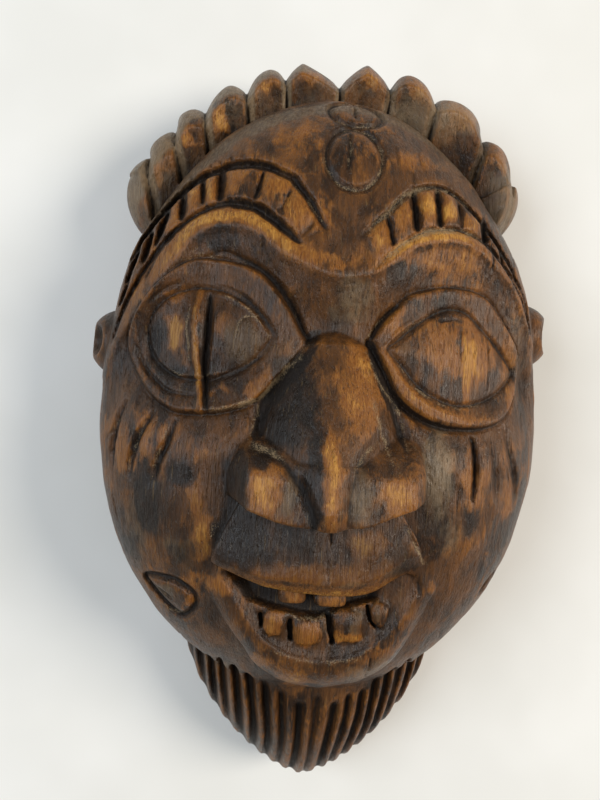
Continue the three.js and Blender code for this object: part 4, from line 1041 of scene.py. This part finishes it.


# Wear, stain, dust, painted sheen and painted shade as values on the points, from 0 to 1 or a little more
def add_wear(piece):
    mesh = piece.data
    count = len(mesh.vertices)
    p, normal = np.zeros(count * 3, dtype=np.float32), np.zeros(count * 3, dtype=np.float32)
    mesh.vertices.foreach_get("co", p)
    mesh.vertex_normals.foreach_get("vector", normal)
    p, normal = p.reshape(-1, 3).astype(np.float64) * 1000, normal.reshape(-1, 3)
    fine, broad = bulges(mesh, p, normal)
    x, y, z = p.T
    facing = normal[:, 2]
    front = np.maximum(smoothstep(-0.05, 0.25, facing) * smoothstep(20, 34, z), smoothstep(68, 74, z))
    moved_x = x + 1.5 * waver(x, y, 3.4, 0.3) + 0.7 * waver(x, y, 1.1, 0.8)
    moved_y = y + 2.0 * waver(x, y, 4.1, 1.9) + 0.9 * waver(x, y, 1.4, 2.8)

    def blobs(rows, low=0.45, high=1.25):
        total = np.zeros(count)
        for cx, cy, rx, ry, strength in rows:
            r = np.hypot((moved_x - cx) / (rx * 1.25), (moved_y - cy) / (ry * 1.25))
            total = np.maximum(total, strength * (1 - smoothstep(low, high, r)))
        return total * front

    def lines(rows, wobble, broken_by=0.0):
        total = np.zeros(count)
        bent_x, bent_y = x + wobble * waver(x, y, 2.9, 4.0), y + wobble * waver(x, y, 2.3, 5.5)
        whole = np.clip(1 + broken_by * (waver(x, y, 1.3, 6.0) - 0.2), 0, 1)
        for points, width, strength in rows:
            d, t, _ = line_distance(bent_x, bent_y, smooth_line(points))
            fade = np.sin(np.pi * np.clip(t, 0.02, 0.98)) ** 0.3
            total = np.maximum(total, strength * fade * whole * (1 - smoothstep(0.5, 1.6, d / width)))
        return total * front

    hair = smoothstep(45.5, 43, z)
    groove, gap, bevel = read_maps((CUT_STAIN_AND_SHADE, GAPS, BEVELS), x, y)
    groove = np.maximum(groove, gap * hair)
    groove = smoothstep(0.15, 1.7, groove) * smoothstep(4, 20, z) * smoothstep(-0.1, 0.3, facing)
    groove *= 1 - 0.4 * smoothstep(2, 12, x) * smoothstep(45, 60, y)
    groove *= 1 - 0.8 * smoothstep(77.5, 79, z) * (np.abs(x) < 26) * (np.abs(y + 57.5) < 4.5)
    convex = smoothstep(0.08, 0.9, broad) * 0.5 + smoothstep(0.02, 0.22, fine) * 0.5
    # Hollows are darkened too: painted shade.
    hidden = smoothstep(0.15, 1.0, -broad) * 0.6 + smoothstep(0.03, 0.22, -fine) * 0.4

    # The outer end of each pleat on the left gets a painted grey sheen, and so do the bevels: painted
    # reflections of the sky.
    turn = np.degrees(np.arctan2(x, y - HAIR_CENTRE))
    radius = np.hypot(x, y - HAIR_CENTRE) + 1.5 * waver(x, y, 3.0, 1.0)
    outer_hair = smoothstep(75, 78.5, radius) * smoothstep(-4, -12, turn) * (y > 60)
    outer_hair = np.maximum(0.8 * outer_hair, bevel) * hair * (0.3 + 0.7 * smoothstep(0.1, 0.45, facing))
    layers = {
        "gold": np.maximum(blobs(GOLD), lines(GOLD_LINES, 0.5)) * (1 - 0.8 * outer_hair),
        "dark": blobs(DARK),
        "grey_sheen": np.maximum(np.maximum(blobs(GREY_SHEEN), lines(GREY_SHEEN_LINES, 0.8)), outer_hair),
        "dust_and_sheen": np.maximum(blobs(DUST_AND_SHEEN, 0.0, 1.3), 0.8 * outer_hair * (x < 0)),
        "tone_and_shade": blobs(DEEP_TONE_AND_SHADE, 0.0, 1.3),
        "dust": lines(DUST_LINES, 0.5, 0.5),
        "groove": np.clip(groove + 0.5 * hidden, 0, 1),
        "convex": np.clip(convex, 0, 1),
    }
    for name, values in layers.items():
        layer = mesh.attributes.new(name, "FLOAT", "POINT")
        layer.data.foreach_set("value", values.astype(np.float32))


# Materials
class Tree:
    def __init__(self, name):
        self.material = bpy.data.materials.new(name)
        self.material.use_nodes = True
        self.nodes = self.material.node_tree.nodes
        self.links = self.material.node_tree.links
        self.shader = self.nodes["Principled BSDF"]

    def put(self, value, socket):
        if isinstance(value, bpy.types.NodeSocket):
            self.links.new(value, socket)
        else:
            socket.default_value = value

    def math(self, operation, *values, clamp=False):
        node = self.nodes.new("ShaderNodeMath")
        node.operation = operation
        node.use_clamp = clamp
        for value, socket in zip(values, node.inputs):
            self.put(value, socket)
        return node.outputs[0]

    # A noise swings about 0.5: this adds `gain` times its swing to `base`.
    def swing(self, noise, gain, base=0.0):
        return self.math("MULTIPLY_ADD", self.math("SUBTRACT", noise, 0.5), gain, base)

    def attribute(self, name):
        node = self.nodes.new("ShaderNodeAttribute")
        node.attribute_name = name
        return node.outputs["Fac"]

    def noise(self, scale, detail=3.0, roughness=0.55, distortion=0.0):
        coordinates = self.nodes.new("ShaderNodeTexCoord")
        mapping = self.nodes.new("ShaderNodeMapping")
        mapping.inputs["Scale"].default_value = scale
        self.links.new(coordinates.outputs["Object"], mapping.inputs["Vector"])
        node = self.nodes.new("ShaderNodeTexNoise")
        self.links.new(mapping.outputs[0], node.inputs["Vector"])
        node.inputs["Scale"].default_value = 1.0
        node.inputs["Detail"].default_value = detail
        node.inputs["Roughness"].default_value = roughness
        node.inputs["Distortion"].default_value = distortion
        return node.outputs["Fac"]

    def ramp(self, value, low, high, top=1.0):
        node = self.nodes.new("ShaderNodeMapRange")
        node.interpolation_type = "SMOOTHSTEP"
        self.put(value, node.inputs["Value"])
        for name, limit in (("From Min", low), ("From Max", high), ("To Max", top)):
            node.inputs[name].default_value = limit
        return node.outputs["Result"]

    def mix(self, share, first, second, blend="MIX"):
        node = self.nodes.new("ShaderNodeMix")
        node.data_type = "RGBA"
        node.blend_type = blend
        for value, k in ((share, 0), (first, 6), (second, 7)):
            self.put(value, node.inputs[k])
        return node.outputs[2]

    def blend_of(self, field, low, high, first, second):
        return self.mix(self.ramp(field, low, high), shade(first), shade(second))


def shade(hex_code):
    parts = [int(hex_code[i:i + 2], 16) / 255 for i in (0, 2, 4)]
    return (*(((v + 0.055) / 1.055) ** 2.4 if v > 0.04 else v / 12.92 for v in parts), 1)


def wood_material():
    tree = Tree("stained_wood")
    grain = tree.noise((900, 42, 500), 4, 0.62, 0.4)
    fibre = tree.noise((2600, 150, 1500), 3, 0.6)
    pores = tree.noise((2100, 190, 1500), 2, 0.5)
    streak = tree.noise((1500, 60, 900), 2, 0.5, 0.3)
    cloud = tree.noise((42, 26, 42), 4, 0.6, 0.6)
    patch = tree.noise((130, 70, 130), 4, 0.62, 0.8)
    blot = tree.noise((260, 170, 260), 3, 0.6, 1.2)
    speck = tree.noise((900, 520, 900), 3, 0.7)
    grit = tree.noise((2300, 1700, 2300), 2, 0.7)
    bands = tree.noise((230, 15, 230), 3, 0.6, 0.4)
    gold, dark, grey_sheen, dust_and_sheen, tone_and_shade, dust, groove, convex = [tree.attribute(name) for name in (
        "gold", "dark", "grey_sheen", "dust_and_sheen", "tone_and_shade", "dust", "groove", "convex")]

    # The stained wood itself: field, low, high, top share, colour
    colour = tree.blend_of(cloud, 0.34, 0.66, "22170d", "604020")
    for field, low, high, top, tint in (
            (bands, 0.5, 0.66, 0.6, "1f150c"), (tree.math("SUBTRACT", 1.0, bands), 0.54, 0.7, 0.5, "7d5228"),
            (patch, 0.42, 0.7, 0.6, "6f4a23"), (blot, 0.5, 0.72, 0.5, "38271a"),
            (grain, 0.35, 0.7, 0.42, "21150c")):
        colour = tree.mix(tree.ramp(field, low, high, top), colour, shade(tint))

    # Worn places, painted grey sheen, black stain, a dust film with painted sheen, deeper tone and painted
    # shade, with ragged edges
    ragged = tree.swing(blot, 0.7, tree.swing(patch, 1.0, tree.swing(grain, 0.9)))
    worn = tree.math("ADD", tree.math("MULTIPLY_ADD", convex, 0.42, gold), ragged)
    brown = tree.ramp(worn, 0.22, 0.75)
    colour = tree.mix(brown, colour, tree.blend_of(fibre, 0.35, 0.65, "74481c", "8f6129"))
    bright = tree.ramp(tree.math("ADD", gold, ragged), 0.6, 1.1)
    colour = tree.mix(bright, colour, tree.blend_of(fibre, 0.35, 0.65, "a0702e", "c49548"))
    # A painted grey sheen in place of highlights
    painted_sheen = tree.ramp(tree.math("MULTIPLY_ADD", ragged, 0.5, grey_sheen), 0.25, 0.9, 0.8)
    colour = tree.mix(painted_sheen, colour, tree.blend_of(grain, 0.35, 0.65, "6c5b45", "3f3324"))
    dusty = tree.ramp(tree.swing(grit, 2.6, dust), 0.4, 0.95)
    for share, tint in (
            (tree.ramp(tree.math("MULTIPLY_ADD", ragged, 0.6, dark), 0.2, 0.8, 0.88), "120e0a"),
            # A dust film that also carries a painted sheen
            (tree.ramp(tree.swing(blot, 0.9, dust_and_sheen), 0.1, 1.0, 0.5), "988973"),
            # Deeper tone, partly painted shade under the nose; then stain with painted shade in the cuts and
            # hollows
            (tree.math("MULTIPLY", tone_and_shade, 0.55), "1a1109"), (tree.ramp(groove, 0.15, 0.85, 0.86), "140d07"),
            (tree.ramp(pores, 0.6, 0.76, 0.42), "1c120a"), (tree.ramp(streak, 0.62, 0.78, 0.22), "9c8355"),
            (tree.math("MULTIPLY", dusty, 0.6), "a3947a")):
        colour = tree.mix(share, colour, shade(tint))
    tree.put(tree.mix(1.0, colour, shade("f6e9d8"), "MULTIPLY"), tree.shader.inputs["Base Color"])

    rough = tree.math("ADD", tree.ramp(grain, 0.3, 0.7, 0.12), 0.28)
    for field in (groove, dusty):
        rough = tree.math("MULTIPLY_ADD", field, 0.25, rough)
    rough = tree.math("ADD", tree.ramp(patch, 0.4, 0.7, 0.1), rough, clamp=True)
    tree.put(rough, tree.shader.inputs["Roughness"])
    tree.shader.inputs["Specular IOR Level"].default_value = 0.3

    height = tree.math("MULTIPLY_ADD", grain, 0.7, tree.math("MULTIPLY", fibre, 0.5))
    height = tree.math("SUBTRACT", height, tree.ramp(pores, 0.58, 0.74, 0.8))
    for field, gain in ((patch, 0.9), (speck, 0.35)):
        height = tree.math("MULTIPLY_ADD", field, gain, height)
    bump = tree.nodes.new("ShaderNodeBump")
    bump.inputs["Strength"].default_value = 0.75
    bump.inputs["Distance"].default_value = 0.0007
    tree.put(height, bump.inputs["Height"])
    tree.put(bump.outputs[0], tree.shader.inputs["Normal"])
    return tree.material


def show(name, data):
    thing = bpy.data.objects.new(name, data)
    bpy.context.scene.collection.objects.link(thing)
    return thing


mask = make_mask()
add_wear(mask)
mask.data.materials.append(wood_material())
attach(mask, "root")
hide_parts("carved_mask")

# Floor
floor_mesh = bpy.data.meshes.new("floor")
floor_mesh.from_pydata([(-1.5, -1.5, 0), (1.5, -1.5, 0), (1.5, 1.5, 0), (-1.5, 1.5, 0)], [], [(0, 1, 2, 3)])
floor = show("floor", floor_mesh)
pale = Tree("pale_floor")
cloudy = pale.blend_of(pale.noise((9, 9, 9), 3), 0.3, 0.7, "e4e1da", "edeae4")
pale.put(cloudy, pale.shader.inputs["Base Color"])
pale.shader.inputs["Roughness"].default_value = 0.85
floor_mesh.materials.append(pale.material)

# Camera at the photograph's viewing angle
tilt, roll = math.radians(3.0), math.radians(3.4)
look = Vector((math.sin(tilt), 0, -math.cos(tilt)))
across = look.cross(Vector((-math.sin(roll), math.cos(roll), 0))).normalized()
camera_data = bpy.data.cameras.new("camera")
camera_data.sensor_width = 36
camera_data.lens = 28.8
camera_data.clip_start = 0.01
camera = show("camera", camera_data)
place = Matrix((across, across.cross(look), -look)).transposed().to_4x4()
place.translation = Vector((-0.0216, 0.0084, 0.292))
camera.matrix_world = place
bpy.context.scene.camera = camera
bpy.context.scene.view_settings.view_transform = "Standard"

# Lights: place, size, power, colour
for name, at, size, power, tint in (("window", (1.3, 0.22, 1.12), 0.8, 25.0, (1.0, 0.95, 0.86)),
                                    ("sky", (-1.1, 0.2, 1.15), 1.1, 17.0, (0.8, 0.9, 1.0))):
    light = bpy.data.lights.new(name, "AREA")
    light.shape = "DISK"
    light.size = size
    light.energy = power
    light.color = tint
    lamp = show(name, light)
    lamp.location = at
    lamp.rotation_euler = (-Vector(at)).to_track_quat("-Z", "Y").to_euler()
world = bpy.data.worlds.new("world")
world.use_nodes = True
background = world.node_tree.nodes["Background"]
background.inputs["Color"].default_value = (0.96, 0.97, 1.0, 1)
background.inputs["Strength"].default_value = 0.27
bpy.context.scene.world = world
